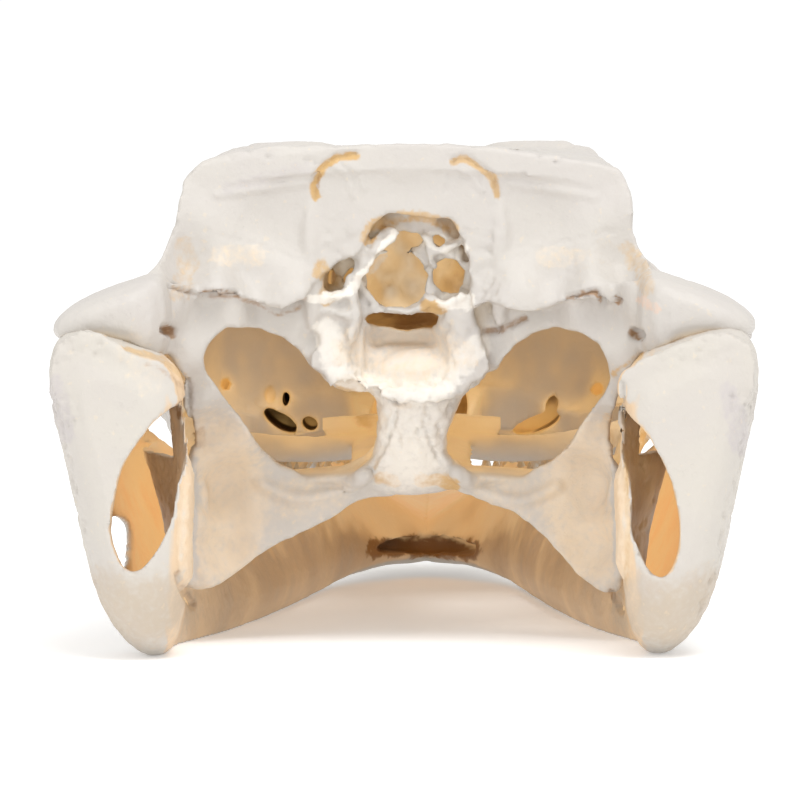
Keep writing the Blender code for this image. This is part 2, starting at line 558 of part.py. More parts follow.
def makeCranium():
    hull = cut(hullSkin("hull"), [hullHollow(), snoutHollow()] + hullOpenings())
    parts = [hull]
    parts += roofRidges()
    parts.append(relief("occiput", occiputOutline, depthFrom([
        (0.0, 79.0, -84.6), (-30.0, 77.0, -84.6), (30.0, 77.0, -84.6), (0.0, 70.0, -83.0),
        (-20.0, 66.0, -82.6), (20.0, 66.0, -82.6), (-34.0, 62.0, -85.0), (34.0, 62.0, -85.0),
        (-30.0, 56.0, -90.0), (30.0, 56.0, -90.0), (-18.0, 54.0, -86.0), (18.0, 54.0, -86.0),
        (-40.0, 58.0, -93.0), (40.0, 58.0, -93.0), (0.0, 52.0, -82.0),
    ]), 4.0, holes=[breakOutline]))
    cheek = relief("cheek", cheekOutline, depthFrom(cheekDepth), 2.4, holes=[windowOutline])
    parts += both(cheek)
    parts += both(quadrate())
    parts += braincase()
    parts += palateBones()
    parts += toothRows(upperTeeth, True)
    return largestPiece(fuse("cranium", parts))


def jawRing(row, inset=0.0):
    y, loop = row[0], np.array(row[1:], float).reshape(8, 2)
    middle = loop.mean(0)
    reach = loop - middle
    length = np.linalg.norm(reach, axis=1)[:, None]
    loop = middle + reach * np.maximum(0.15, (length - inset) / length)
    return np.insert(smoothLine(loop, ringSteps, closed=True), 1, y, axis=1)


# The seat of the jaw joint: the lower jaw is cleared of the skull grown by a small gap.
def jointSeat(cranium):
    seat = bpy.data.objects.new("seat", cranium.data.copy())
    bpy.context.scene.collection.objects.link(seat)
    grow = seat.modifiers.new("grow", "DISPLACE")
    grow.strength = jointGap
    grow.mid_level = 0.0
    return settle(seat)


def makeMandible(cranium):
    rows = smoothLine(jawStations, stationSteps)
    ramus = loft("ramus", [jawRing(row) for row in rows])
    deep = [jawRing(row, jawWall) for row in rows if fossaBack < row[0] < fossaFront]
    front = jawRing([fossaFront + 8.0] + [jawAt(fossaFront + 8.0, k) for k in range(1, 17)], 5.5)
    cutters = [loft("fossa", [front] + deep)]
    cutters.append(prism("ringGap", smoothLine(ringOutline, 2, closed=True), 1, -116.0, -100.0))
    side = smoothLine([(-72.0, 18.0), (-64.0, 24.0), (-52.0, 25.0), (-44.0, 20.5), (-52.0, 14.0),
                       (-64.0, 13.0)], 3, closed=True)
    cutters.append(prism("sideGap", side, 0, 38.0, 60.0))
    top = smoothLine([(44.5, -86.0), (48.0, -74.0), (44.6, -54.0), (41.0, -46.0), (37.0, -54.0),
                      (34.0, -72.0), (33.0, -88.0), (39.0, -92.0)], 3, closed=True)
    cutters.append(prism("topGap", top, 2, 30.0, 60.0))
    cut(ramus, cutters)
    parts = both(ramus) + toothRows(lowerTeeth, False)
    whole = fuse("mandible", parts)
    return fuse("mandible", [largestPiece(cut(whole, [jointSeat(cranium)]))])


# Fewer, larger facets in place of the even cells.
def thinOut(thing, triangles):
    thing.data.calc_loop_triangles()
    ease = thing.modifiers.new("ease", "SMOOTH")
    ease.factor = 0.4
    ease.iterations = 2
    step = thing.modifiers.new("facets", "DECIMATE")
    step.ratio = triangles / len(thing.data.loop_triangles)
    step.use_collapse_triangulate = True
    return settle(thing)


def boneMaterial(name, colour):
    material = bpy.data.materials.new(name)
    material.use_nodes = True
    shader = material.node_tree.nodes["Principled BSDF"]
    shader.inputs["Base Color"].default_value = colour
    shader.inputs["Roughness"].default_value = boneRoughness
    shader.inputs["Metallic"].default_value = 0.0
    return material


# Wears the keels flat where the lower jaw stands on them.
def flatten(thing):
    low = min(v.co.z for v in thing.data.vertices)
    square = [(-80.0, -130.0), (80.0, -130.0), (80.0, 130.0), (-80.0, 130.0)]
    return cut(thing, [prism("ground", square, 2, low - 5.0, low + keelWear)])


# Brings the drawing in millimetres to the driving dimensions, standing on z = 0.
def toSize(things):
    corners = np.vstack([[tuple(v.co) for v in thing.data.vertices] for thing in things])
    low, high = corners.min(0), corners.max(0)
    sides = np.array((skullWidth, skullLength, skullHeight)) / (high - low)
    foot = Vector(((low[0] + high[0]) / 2, (low[1] + high[1]) / 2, low[2]))
    change = Matrix.Diagonal((*sides, 1.0)) @ Matrix.Translation(-foot)
    for thing in things:
        thing.data.transform(change)


def main():
    for thing in list(bpy.data.objects):
        bpy.data.objects.remove(thing)
    cranium = thinOut(makeCranium(), craniumTriangles)
    mandible = flatten(thinOut(makeMandible(cranium), mandibleTriangles))
    toSize([cranium, mandible])
    cranium.data.materials.append(boneMaterial("craniumBone", boneColour))
    mandible.data.materials.append(boneMaterial("jawBone", jawColour))
    for thing in (cranium, mandible):
        thing.data.shade_smooth()
        thing.data.set_sharp_from_angle(angle=math.radians(40))


main()
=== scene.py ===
import math

import bmesh
import bpy
import numpy as np
from mathutils import Euler, Matrix, Vector, geometry, noise
from mathutils.bvhtree import BVHTree


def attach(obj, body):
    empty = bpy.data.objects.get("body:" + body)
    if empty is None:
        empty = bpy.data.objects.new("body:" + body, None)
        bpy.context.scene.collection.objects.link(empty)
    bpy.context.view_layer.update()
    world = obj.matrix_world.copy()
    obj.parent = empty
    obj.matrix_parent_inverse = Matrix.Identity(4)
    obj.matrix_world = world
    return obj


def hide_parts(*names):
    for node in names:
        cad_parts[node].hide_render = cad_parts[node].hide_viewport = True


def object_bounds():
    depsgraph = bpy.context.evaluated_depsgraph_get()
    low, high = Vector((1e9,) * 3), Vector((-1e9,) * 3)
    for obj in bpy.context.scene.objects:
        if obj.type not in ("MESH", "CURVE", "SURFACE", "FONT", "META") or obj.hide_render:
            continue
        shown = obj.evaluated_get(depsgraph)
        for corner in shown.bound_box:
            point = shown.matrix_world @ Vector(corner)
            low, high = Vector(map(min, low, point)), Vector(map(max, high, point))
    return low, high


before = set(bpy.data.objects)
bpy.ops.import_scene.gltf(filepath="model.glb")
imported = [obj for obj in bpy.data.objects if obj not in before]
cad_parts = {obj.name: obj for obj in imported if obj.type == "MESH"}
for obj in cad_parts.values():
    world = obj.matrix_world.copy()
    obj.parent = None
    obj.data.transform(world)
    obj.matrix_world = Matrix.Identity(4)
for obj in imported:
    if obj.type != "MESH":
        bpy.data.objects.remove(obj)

cadBox = [list(corner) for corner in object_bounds()]
mm = 0.001

# The photograph's camera, in metres, degrees and pixels of its 800 by 800 frame.
photo = {
    "size": 800,
    "distance": 1.4,         # from the rear end of the lower jaw
    "rearEnd": -0.1115,      # y of that end
    "perPixel": 0.000155,    # metres a pixel covers there
    "horizonRow": -65.7,
    "height": 0.113,
    "yaw": 1.2,
    "roll": 0.3,
}

# Fineness of the two bones. Sizes in millimetres.
mesh = {
    "cell": 0.5,
    "craniumTriangles": 192000,
    "mandibleTriangles": 190000,
    "rayCount": 9,
    "rayReach": 75.0,
    "rayStart": 0.4,         # above the skin
    "keepShare": 0.0006,
    # Toward the photograph's camera, then the other sides, each with what it is worth.
    "ways": [
        ((0.02, -1.0, 0.05), 1.0), ((1.0, 0.1, 0.3), 0.8), ((-1.0, 0.1, 0.3), 0.8),
        ((0.0, 0.3, 1.0), 0.8), ((0.0, 1.0, 0.2), 0.8), ((0.3, 0.1, -1.0), 0.7),
        ((-0.3, 0.1, -1.0), 0.7),
    ],
    "ringSteps": 4,
    "stationSteps": 4,
}


# Place, turn and focal length in pixels of the photograph's camera.
def photoCamera():
    focal = photo["distance"] / photo["perPixel"]
    pitch = math.atan((photo["size"] / 2 - photo["horizonRow"]) / focal)
    yaw = math.radians(photo["yaw"])
    back = photo["rearEnd"] - photo["distance"] * math.cos(yaw)
    place = Vector((photo["distance"] * math.sin(yaw), back, photo["height"]))
    turn = Euler((math.pi / 2 - pitch, math.radians(photo["roll"]), yaw))
    return place, turn, focal


# Points of the frame, in metres, as pixels of the photograph.
def toPhoto(points):
    place, turn, focal = photoCamera()
    local = (points - np.array(place)) @ np.array(turn.to_matrix())
    middle = photo["size"] / 2
    return np.stack([middle - focal * local[:, 0] / local[:, 2],
                     middle + focal * local[:, 1] / local[:, 2]], 1)


# Pixels of the photograph as (x, z) in millimetres on the plane at that y.
def fromPhoto(pixels, y):
    place, turn, focal = photoCamera()
    middle = photo["size"] / 2
    spots = []
    for px, py in pixels:
        way = turn.to_matrix() @ Vector((px - middle, middle - py, -focal))
        spot = place + way * ((y * mm - place.y) / way.y)
        spots.append((spot.x / mm, spot.z / mm))
    return spots


# A smooth line through the points, with the given number of steps in each span.
def smoothLine(points, steps, closed=False):
    points = np.array(points, float)
    if closed:
        points = np.vstack([points[-1:], points, points[:2]])
    else:
        points = np.vstack([2 * points[0] - points[1], points, 2 * points[-1] - points[-2]])
    share = np.linspace(0, 1, steps, endpoint=False)[:, None]
    spans = []
    for a, b, c, d in zip(points, points[1:], points[2:], points[3:]):
        cubic = 3 * b - a - 3 * c + d
        square = 2 * a - 5 * b + 4 * c - d
        spans.append(0.5 * (2 * b + (c - a) * share + square * share**2 + cubic * share**3))
    line = np.vstack(spans)
    return line if closed else np.vstack([line, points[-2]])


# The same number of evenly spaced points on any closed outline.
def evenLoop(outline, count):
    loop = np.array(outline, float)
    loop = np.vstack([loop, loop[:1]])
    way = np.concatenate([[0], np.cumsum(np.linalg.norm(np.diff(loop, axis=0), axis=1))])
    marks = np.linspace(0, way[-1], count, endpoint=False)
    return np.stack([np.interp(marks, way, loop[:, k]) for k in (0, 1)], 1)


# A broken edge: the outline in short steps, each moved a little.
def ragged(outline, size, step=0.7, seed=0.0):
    loop = np.array(outline, float)
    length = np.linalg.norm(np.roll(loop, -1, axis=0) - loop, axis=1).sum()
    loop = evenLoop(loop, int(length / step))
    moved = []
    for x, z in loop:
        shift = noise.noise_vector(Vector((x * 0.9, z * 0.9, seed)))
        moved.append((x + size * shift.x, z + size * shift.y))
    return moved


def meshObject(name, points, faces):
    data = bpy.data.meshes.new(name)
    data.from_pydata([tuple(point) for point in points], [], faces)
    tidy = bmesh.new()
    tidy.from_mesh(data)
    bmesh.ops.recalc_face_normals(tidy, faces=tidy.faces)
    tidy.to_mesh(data)
    tidy.free()
    thing = bpy.data.objects.new(name, data)
    bpy.context.scene.collection.objects.link(thing)
    return thing


# A closed skin over rings of equal length, with flat ends.
def loft(name, rings):
    size = len(rings[0])
    points = np.vstack(rings)
    faces = []
    for row in range(len(rings) - 1):
        for k in range(size):
            after = (k + 1) % size
            low = row * size
            high = low + size
            faces.append((low + k, low + after, high + after, high + k))
    faces.append(tuple(range(size)))
    faces.append(tuple(range(len(points) - size, len(points))))
    return meshObject(name, points, faces)


# A bone of elliptical section along a path, with (half width, half thickness) at each point.
def stroke(name, path, sizes, across=(1, 0, 0), sides=14, steps=5):
    line = smoothLine([tuple(p) + tuple(s) for p, s in zip(path, sizes)], steps)
    places, halves = line[:, :3], np.maximum(line[:, 3:], 0.05)
    tangents = np.gradient(places, axis=0)
    tangents /= np.linalg.norm(tangents, axis=1)[:, None]
    angles = np.linspace(0, 2 * math.pi, sides, endpoint=False)
    rings = []

    def ring(place, tangent, half):
        wide = np.array(across, float)
        wide -= tangent * wide.dot(tangent)
        wide /= np.linalg.norm(wide)
        thick = np.cross(tangent, wide)
        side = np.outer(np.cos(angles) * half[0], wide)
        rings.append(place + side + np.outer(np.sin(angles) * half[1], thick))

    for turn in (1.35, 0.9, 0.45):
        back = places[0] - tangents[0] * halves[0].min() * math.sin(turn)
        ring(back, tangents[0], halves[0] * math.cos(turn))
    for place, tangent, half in zip(places, tangents, halves):
        ring(place, tangent, half)
    for turn in (0.45, 0.9, 1.35):
        ahead = places[-1] + tangents[-1] * halves[-1].min() * math.sin(turn)
        ring(ahead, tangents[-1], halves[-1] * math.cos(turn))
    return loft(name, rings)


# Which of the points (n, 2) lie inside a closed outline.
def insideMany(points, outline):
    points = np.atleast_2d(np.array(points, float))
    outline = np.array(outline, float)
    found = np.zeros(len(points), bool)
    for (ax, az), (bx, bz) in zip(outline, np.roll(outline, -1, axis=0)):
        if az == bz:
            continue
        x, z = points[:, 0], points[:, 1]
        crosses = ((az > z) != (bz > z)) & (x < ax + (z - az) / (bz - az) * (bx - ax))
        found ^= crosses
    return found


# Distance of the points (n, 2) from a line of points.
def lineDistance(points, line):
    line = np.array(line, float)
    best = np.full(len(points), 1e9)
    for a, b in zip(line, line[1:]):
        run = b - a
        length = max(float(np.linalg.norm(run)), 1e-9)
        share = np.clip(((points - a) @ run) / length**2, 0, 1)
        best = np.minimum(best, np.linalg.norm(points - a - share[:, None] * run, axis=1))
    return best


# Depth between given points (x, z, y), each weighing less the further away it is.
def depthFrom(points):
    points = np.array(points, float)

    def depth(x, z):
        weight = 1 / ((points[:, 0] - x) ** 2 + (points[:, 1] - z) ** 2 + 4.0) ** 2
        return float((weight * points[:, 2]).sum() / weight.sum())

    return depth


# A plate seen from behind: an outline in x and z, with holes, laid at a depth y and thickened.
def relief(name, outline, depth, thickness, holes=(), spacing=1.3):
    edges = []
    flat = []
    loops = [np.array(outline, float)] + [np.array(hole, float) for hole in holes]
    for line in loops:
        start = len(flat)
        flat += [tuple(point) for point in line]
        edges += [(start + k, start + (k + 1) % len(line)) for k in range(len(line))]
    low, high = loops[0].min(0), loops[0].max(0)
    across = np.arange(low[0] + spacing / 2, high[0], spacing)
    upward = np.arange(low[1] + spacing / 2, high[1], spacing)
    grid = np.stack(np.meshgrid(across, upward), -1).reshape(-1, 2)
    keep = insideMany(grid, loops[0])
    for hole in loops[1:]:
        keep &= ~insideMany(grid, hole)
    flat += [tuple(point) for point in grid[keep]]
    found = geometry.delaunay_2d_cdt([Vector(point) for point in flat], edges, [], 0, 1e-4)
    places = np.array([tuple(place) for place in found[0]])
    middles = np.array([places[list(face)].mean(0) for face in found[2]])
    keep = insideMany(middles, loops[0])
    for hole in loops[1:]:
        keep &= ~insideMany(middles, hole)
    plate = bmesh.new()
    corners = [plate.verts.new((x, depth(x, z), z)) for x, z in places]
    for face, wanted in zip(found[2], keep):
        if wanted:
            plate.faces.new([corners[k] for k in face])
    bmesh.ops.delete(plate, geom=[v for v in plate.verts if not v.link_faces], context="VERTS")
    grown = bmesh.ops.extrude_face_region(plate, geom=list(plate.faces))
    for item in grown["geom"]:
        if isinstance(item, bmesh.types.BMVert):
            item.co.y += thickness
    bmesh.ops.recalc_face_normals(plate, faces=plate.faces)
    data = bpy.data.meshes.new(name)
    plate.to_mesh(data)
    plate.free()
    thing = bpy.data.objects.new(name, data)
    bpy.context.scene.collection.objects.link(thing)
    return thing


# A prism over an outline, which runs along one axis between two levels.
def prism(name, outline, axis, low, high):
    rings = []
    for level in (low, high):
        rings.append(np.array([np.insert(point, axis, level) for point in np.array(outline, float)]))
    return loft(name, rings)


def ellipse(centre, halves, turn=0.0, sides=24):
    angles = np.linspace(0, 2 * math.pi, sides, endpoint=False)
    a, b = halves[0] * np.cos(angles), halves[1] * np.sin(angles)
    c, s = math.cos(turn), math.sin(turn)
    return np.stack([centre[0] + a * c - b * s, centre[1] + a * s + b * c], 1)


# Replaces an object's mesh by what its modifiers make of it.
def settle(thing):
    graph = bpy.context.evaluated_depsgraph_get()
    made = bpy.data.meshes.new_from_object(thing.evaluated_get(graph))
    thing.modifiers.clear()
    thing.data = made
    return thing


def cut(thing, cutters):
    for cutter in cutters:
        step = thing.modifiers.new("cut", "BOOLEAN")
        step.operation = "DIFFERENCE"
        step.solver = "EXACT"
        step.object = cutter
        settle(thing)
        bpy.data.objects.remove(cutter)
    return thing


# Several objects as one, without joining their surfaces.
def gather(name, things):
    joined = bmesh.new()
    for thing in things:
        joined.from_mesh(thing.data)
        bpy.data.objects.remove(thing)
    data = bpy.data.meshes.new(name)
    joined.to_mesh(data)
    joined.free()
    whole = bpy.data.objects.new(name, data)
    bpy.context.scene.collection.objects.link(whole)
    return whole


# Joins closed bodies that overlap into one skin of even cells.
def fuse(name, things):
    whole = gather(name, things)
    step = whole.modifiers.new("skin", "REMESH")
    step.mode = "VOXEL"
    step.voxel_size = mesh["cell"]
    return settle(whole)


# Leaves only the largest of the bodies in an object.
def largestPiece(thing):
    body = bmesh.new()
    body.from_mesh(thing.data)
    waiting = set(body.verts)
    groups = []
    while waiting:
        group = set()
        edge = [waiting.pop()]
        while edge:
            vert = edge.pop()
            group.add(vert)
            near = [link.other_vert(vert) for link in vert.link_edges]
            fresh = [other for other in near if other in waiting]
            waiting.difference_update(fresh)
            edge += fresh
        groups.append(group)
    groups.sort(key=len)
    for group in groups[:-1]:
        bmesh.ops.delete(body, geom=list(group), context="VERTS")
    body.to_mesh(thing.data)
    body.free()
    return thing


def mirrored(thing):
    copy = thing.data.copy()
    copy.transform(Matrix.Scale(-1, 4, (1, 0, 0)))
    copy.flip_normals()
    twin = bpy.data.objects.new(thing.name + "Other", copy)
    bpy.context.scene.collection.objects.link(twin)
    return twin


def both(thing):
    return [thing, mirrored(thing)]


# Fewer triangles, kept close together where the photograph looks.
def thinOut(thing, triangles):
    points, normals = readPoints(thing), readNormals(thing)
    surface = bmesh.new()
    surface.from_mesh(thing.data)
    tree = BVHTree.FromBMesh(surface)
    surface.free()
    starts = [Vector(spot) for spot in points + normals * mesh["rayStart"]]
    seen = np.zeros(len(points))
    for way, worth in mesh["ways"]:
        way = Vector(way).normalized()
        for k in np.nonzero(seen < worth)[0]:
            if tree.ray_cast(starts[k], way)[0] is None:
                seen[k] = worth
    seen = spread(thing, seen, 3)
    group = thing.vertex_groups.new(name="keep")
    levels = np.round(seen * 9).astype(int) + 1
    for level in range(1, 11):
        group.add(np.nonzero(levels == level)[0].tolist(), level / 10, "REPLACE")
    thing.data.calc_loop_triangles()
    step = thing.modifiers.new("facets", "DECIMATE")
    step.ratio = min(1.0, triangles / len(thing.data.loop_triangles))
    step.vertex_group = "keep"
    step.invert_vertex_group = True
    step.vertex_group_factor = mesh["keepShare"]
    settle(thing)
    thing.vertex_groups.clear()
    return thing


def soften(thing, rounds):
    ease = thing.modifiers.new("ease", "SMOOTH")
    ease.factor = 0.5
    ease.iterations = rounds
    return settle(thing)


def readPoints(thing):
    points = np.empty(len(thing.data.vertices) * 3, np.float32)
    thing.data.vertices.foreach_get("co", points)
    return points.reshape(-1, 3).astype(float)


def writePoints(thing, points):
    thing.data.vertices.foreach_set("co", points.astype(np.float32).ravel())
    thing.data.update()


def readNormals(thing):
    normals = np.empty(len(thing.data.vertices) * 3, np.float32)
    thing.data.vertices.foreach_get("normal", normals)
    return normals.reshape(-1, 3).astype(float)


# Each value mixed with its neighbours' along the mesh's edges.
def spread(thing, values, rounds):
    ends = np.empty(len(thing.data.edges) * 2, np.int32)
    thing.data.edges.foreach_get("vertices", ends)
    ends = ends.reshape(-1, 2)
    count = len(thing.data.vertices)
    near = np.bincount(ends.ravel(), minlength=count) + 1.0
    for _ in range(rounds):
        total = values + np.bincount(ends[:, 0], values[ends[:, 1]], count)
        values = (total + np.bincount(ends[:, 1], values[ends[:, 0]], count)) / near
    return values


def ramp(values, low, high):
    share = np.clip((values - low) / (high - low), 0, 1)
    return share * share * (3 - 2 * share)


# Smooth noise from -1 to 1 at each point, for lumps of about the given size.
def lumps(points, size, seed=0.0):
    shift = Vector((seed, seed * 1.7, seed * 2.3))
    return np.array([noise.noise(Vector(point) / size + shift) for point in points])


# Round hollows: 1 at the middle of each, 0 between them.
def pits(points, size, reach=0.45, seed=0.0):
    shift = Vector((seed, seed * 1.3, seed * 0.7))
    gaps = [noise.voronoi(Vector(point) / size + shift)[0][0] for point in points]
    return ramp(np.array(gaps), reach, reach * 0.25)


# Skull: the outer hull, front to back, in millimetres. Each row: y, the palate level at the
# midline, the tooth margin (x, z), the widest point of the side (x, z), the flank (x, z),
# the shoulder of the roof (x, z) and the level of the roof at the midline.
skull = {
    "hull": [
        (110.8, 24.0, 4.0, 23.0, 5.0, 26.5, 4.5, 29.5, 3.0, 31.0, 31.5),
        (107.5, 22.5, 11.5, 21.0, 13.0, 26.0, 11.5, 31.0, 7.5, 34.5, 35.5),
        (101.0, 22.5, 17.5, 19.5, 19.5, 26.0, 17.5, 33.0, 11.0, 38.5, 39.5),
        (91.0, 23.5, 20.5, 18.5, 22.8, 26.0, 20.0, 34.5, 13.0, 40.0, 41.0),
        (79.0, 25.0, 21.2, 19.5, 23.2, 27.0, 20.4, 35.5, 13.2, 40.0, 41.5),
        (68.0, 26.0, 23.0, 21.3, 25.0, 29.0, 22.0, 37.0, 14.2, 41.0, 42.8),
        (54.0, 26.0, 26.6, 18.5, 28.5, 28.5, 24.5, 38.8, 16.0, 43.8, 45.8),
        (37.0, 27.5, 29.5, 20.5, 31.8, 31.0, 27.5, 43.0, 17.5, 49.0, 50.5),
        (20.0, 29.0, 32.5, 23.5, 35.0, 35.0, 30.5, 48.5, 19.5, 56.0, 58.0),
        (4.0, 30.0, 36.0, 26.0, 38.8, 39.5, 33.0, 55.0, 21.0, 63.5, 65.5),
        (-13.0, 31.0, 40.0, 30.0, 42.8, 43.5, 34.5, 60.0, 22.0, 70.0, 69.0),
        (-30.0, 32.0, 43.5, 35.0, 46.5, 46.0, 35.0, 62.0, 24.5, 75.5, 73.5),
        (-42.0, 32.5, 45.5, 38.0, 48.5, 47.2, 34.5, 62.0, 27.2, 77.8, 77.4),
        (-60.0, 33.0, 48.5, 42.5, 51.5, 49.0, 34.5, 62.0, 30.2, 78.2, 78.6),
        (-84.5, 36.0, 51.5, 46.5, 54.2, 50.5, 37.5, 62.0, 32.0, 77.4, 79.6),
    ],
    "wall": 2.6,
    "hollowFront": [20.0, 18.0, 15.0, 11.0, 7.0],   # y of the hollow's rounded front end
    "hollowRun": (2.0, -92.0, 24),                  # where the rest starts and ends, and its rings
    "cornerHang": (1.5, 0.9),
    "shoulderBulge": 0.15,   # share of the shoulder's height that the roof's corner swells by
    # Outlines in pixels of the photograph.
    "occiput": [
        (187, 177), (199, 165), (224, 156), (268, 148), (330, 147), (400, 147), (464, 147),
        (502, 150), (553, 157), (599, 164), (617, 170), (627, 184), (632, 202), (633, 228),
        (638, 250), (650, 268), (663, 280), (640, 297), (610, 303), (594, 296), (566, 300),
        (538, 312), (510, 309), (488, 301), (472, 311), (470, 287), (468, 262), (460, 235),
        (450, 220), (418, 219), (386, 214), (370, 231), (358, 255), (337, 264), (318, 280),
        (305, 299), (281, 309), (255, 302), (240, 295), (201, 296), (165, 292), (150, 276),
        (161, 261), (170, 240), (176, 222), (178, 207), (181, 189),
    ],
    "septaEdge": [
        (386, 208), (456, 212), (470, 240), (478, 290), (474, 318), (446, 317), (424, 313),
        (400, 315), (380, 313), (352, 318), (322, 322), (306, 312), (298, 296), (318, 272),
        (350, 254), (366, 226),
    ],
    "basinEdge": [
        (322, 312), (345, 304), (356, 314), (374, 326), (392, 332), (412, 333), (430, 328),
        (446, 318), (456, 304), (472, 304), (480, 334), (491, 366), (483, 378), (471, 384), (463, 396),
        (430, 402), (392, 402), (381, 398), (374, 384), (365, 392), (354, 378), (343, 385),
        (338, 379), (331, 387), (322, 374), (309, 365), (318, 345),
    ],
    "windowLeft": [
        (227, 326), (257, 327), (281, 336), (300, 352), (309, 366), (322, 376), (336, 392),
        (352, 392), (374, 396), (378, 410), (376, 446), (367, 457), (353, 465), (332, 474),
        (315, 479), (301, 479), (291, 474), (274, 467), (260, 450), (246, 427), (233, 407),
        (219, 386), (208, 369), (206, 355), (212, 339),
    ],
    "windowRight": [
        (538, 331), (555, 327), (581, 332), (598, 341), (607, 358), (611, 376), (605, 391),
        (591, 410), (576, 433), (564, 451), (551, 464), (536, 471), (524, 479), (507, 483),
        (493, 481), (469, 473), (452, 464), (440, 451), (443, 441), (452, 419), (460, 403),
        (464, 396), (476, 386), (488, 374), (499, 368), (503, 358), (520, 341),
    ],
    "wingLeft": [
        (186, 400), (196, 430), (194, 455), (186, 483), (183, 516), (181, 557), (184, 578),
        (193, 588), (208, 588), (223, 581), (250, 561), (273, 546), (306, 531), (336, 516),
        (354, 502), (367, 500), (395, 497),
    ],
    "wingRight": [
        (616, 398), (610, 425), (609, 450), (618, 475), (624, 508), (625, 541), (624, 574),
        (620, 589), (609, 592), (596, 587), (579, 576), (561, 556), (546, 538), (529, 524),
        (513, 513), (488, 498), (460, 496),
    ],
    # Ovals as pixels of the photograph: middle, halves and turn.
    "darkHoles": [
        ((226, 383), (5, 7), 0.2), ((270, 394), (5, 8), 0.1), ((286, 398), (4, 10), 0.1),
        ((280, 420), (20, 8), 0.6), ((309, 424), (9, 7), 0.5), ((598, 388), (6, 7), 0.5),
        ((552, 405), (6, 10), 0.3), ((536, 425), (27, 9), -0.42), ((383, 415), (13, 26), 0.2),
        ((455, 400), (12, 26), -0.2),
    ],
    "cellHoles": [
        ((397, 280), (30, 29), 0.0), ((448, 276), (16, 17), 0.2), ((322, 284), (17, 9), 0.75),
        ((400, 243), (22, 9), 0.15), ((438, 242), (10, 5), -0.5), ((352, 278), (6, 11), -0.5),
        ((327, 312), (9, 5), 0.5),
    ],
    # Threads of bone: pixels of the photograph, depth, half width and half thickness in millimetres.
    "strands": [
        ([(303, 301), (325, 299), (345, 294), (358, 274), (372, 252), (392, 233)], -81.0, 0.9, 1.6),
        ([(425, 238), (438, 252), (452, 246), (466, 240)], -79.5, 0.6, 1.0),
        ([(430, 233), (428, 250), (434, 268)], -79.0, 0.5, 1.0),
        ([(352, 296), (356, 318), (350, 340)], -81.0, 0.9, 1.4),
        ([(428, 300), (446, 306), (462, 298)], -80.5, 0.8, 1.4),
        ([(388, 310), (410, 312), (430, 306)], -79.5, 0.6, 1.2),
        ([(313, 316), (330, 312), (350, 318)], -81.5, 0.7, 1.2),
    ],
}


hullRows = smoothLine(skull["hull"], 6)[::-1]


def hullAt(y, column):
    return float(np.interp(y, hullRows[:, 0], hullRows[:, column]))


def hullRing(row):
    y, palate, xe, ze, xs, zs, xn, zn, xt, zt, roof = row
    corner = (0.85 * xt + 0.15 * xn + skull["shoulderBulge"] * (zt - zn), zn + 0.72 * (zt - zn))
    half = [
        (0.45 * xe, palate), (0.74 * xe, 0.5 * (palate + ze) + 0.8), (0.9 * xe, ze),
        (xe, ze + 1.2), (xs, zs), (xn, zn), corner, (xt, zt), (0.5 * xt, 0.5 * (zt + roof) + 0.3),
    ]
    loop = [(0.0, palate)] + half + [(0.0, roof)] + [(-x, z) for x, z in half[::-1]]
    loop = smoothLine(loop, mesh["ringSteps"], closed=True)
    # The table's corners hang a little, the right one more.
    hang = np.where(loop[:, 0] > 0, *skull["cornerHang"]) * ramp(np.abs(loop[:, 0]), 8.0, 30.0)
    loop[:, 1] -= hang * ramp(loop[:, 1], 64.0, 72.0) * ramp(-y, 34.0, 60.0)
    return np.insert(loop, 1, y, axis=1)


def hullSkin():
    rows = smoothLine(skull["hull"], mesh["stationSteps"])
    return loft("hull", [hullRing(row) for row in rows])


# The space inside the cheeks and under the roof, open at the back.
def hullHollow():
    rings = []
    wall = skull["wall"]
    for y in np.concatenate([skull["hollowFront"], np.linspace(*skull["hollowRun"])]):
        palate, xe, ze, xs, zs, xn, zn, xt, zt, roof = [hullAt(y, k) for k in range(1, 11)]
        shrink = math.sqrt(1 - (max(0.0, y - 1.0) / 20.0) ** 2)
        mid = 0.5 * (palate + roof)
        half = [
            (0.45 * xe, palate + wall), (xe - 4.5, 0.5 * (ze + zs)), (xs - wall, zs + 1.5),
            (xn - 2.2, zn), (xt - wall, zt - 5.0), (0.5 * xt, 0.5 * (zt + roof) - 3.8),
        ]
        loop = [(0.0, palate + wall)] + half + [(0.0, roof - 4.0)] + [(-x, z) for x, z in half[::-1]]
        loop = [(x * shrink, mid + (z - mid) * shrink) for x, z in loop]
        rings.append(np.insert(smoothLine(loop, mesh["ringSteps"], closed=True), 1, y, axis=1))
    return loft("hollow", rings)


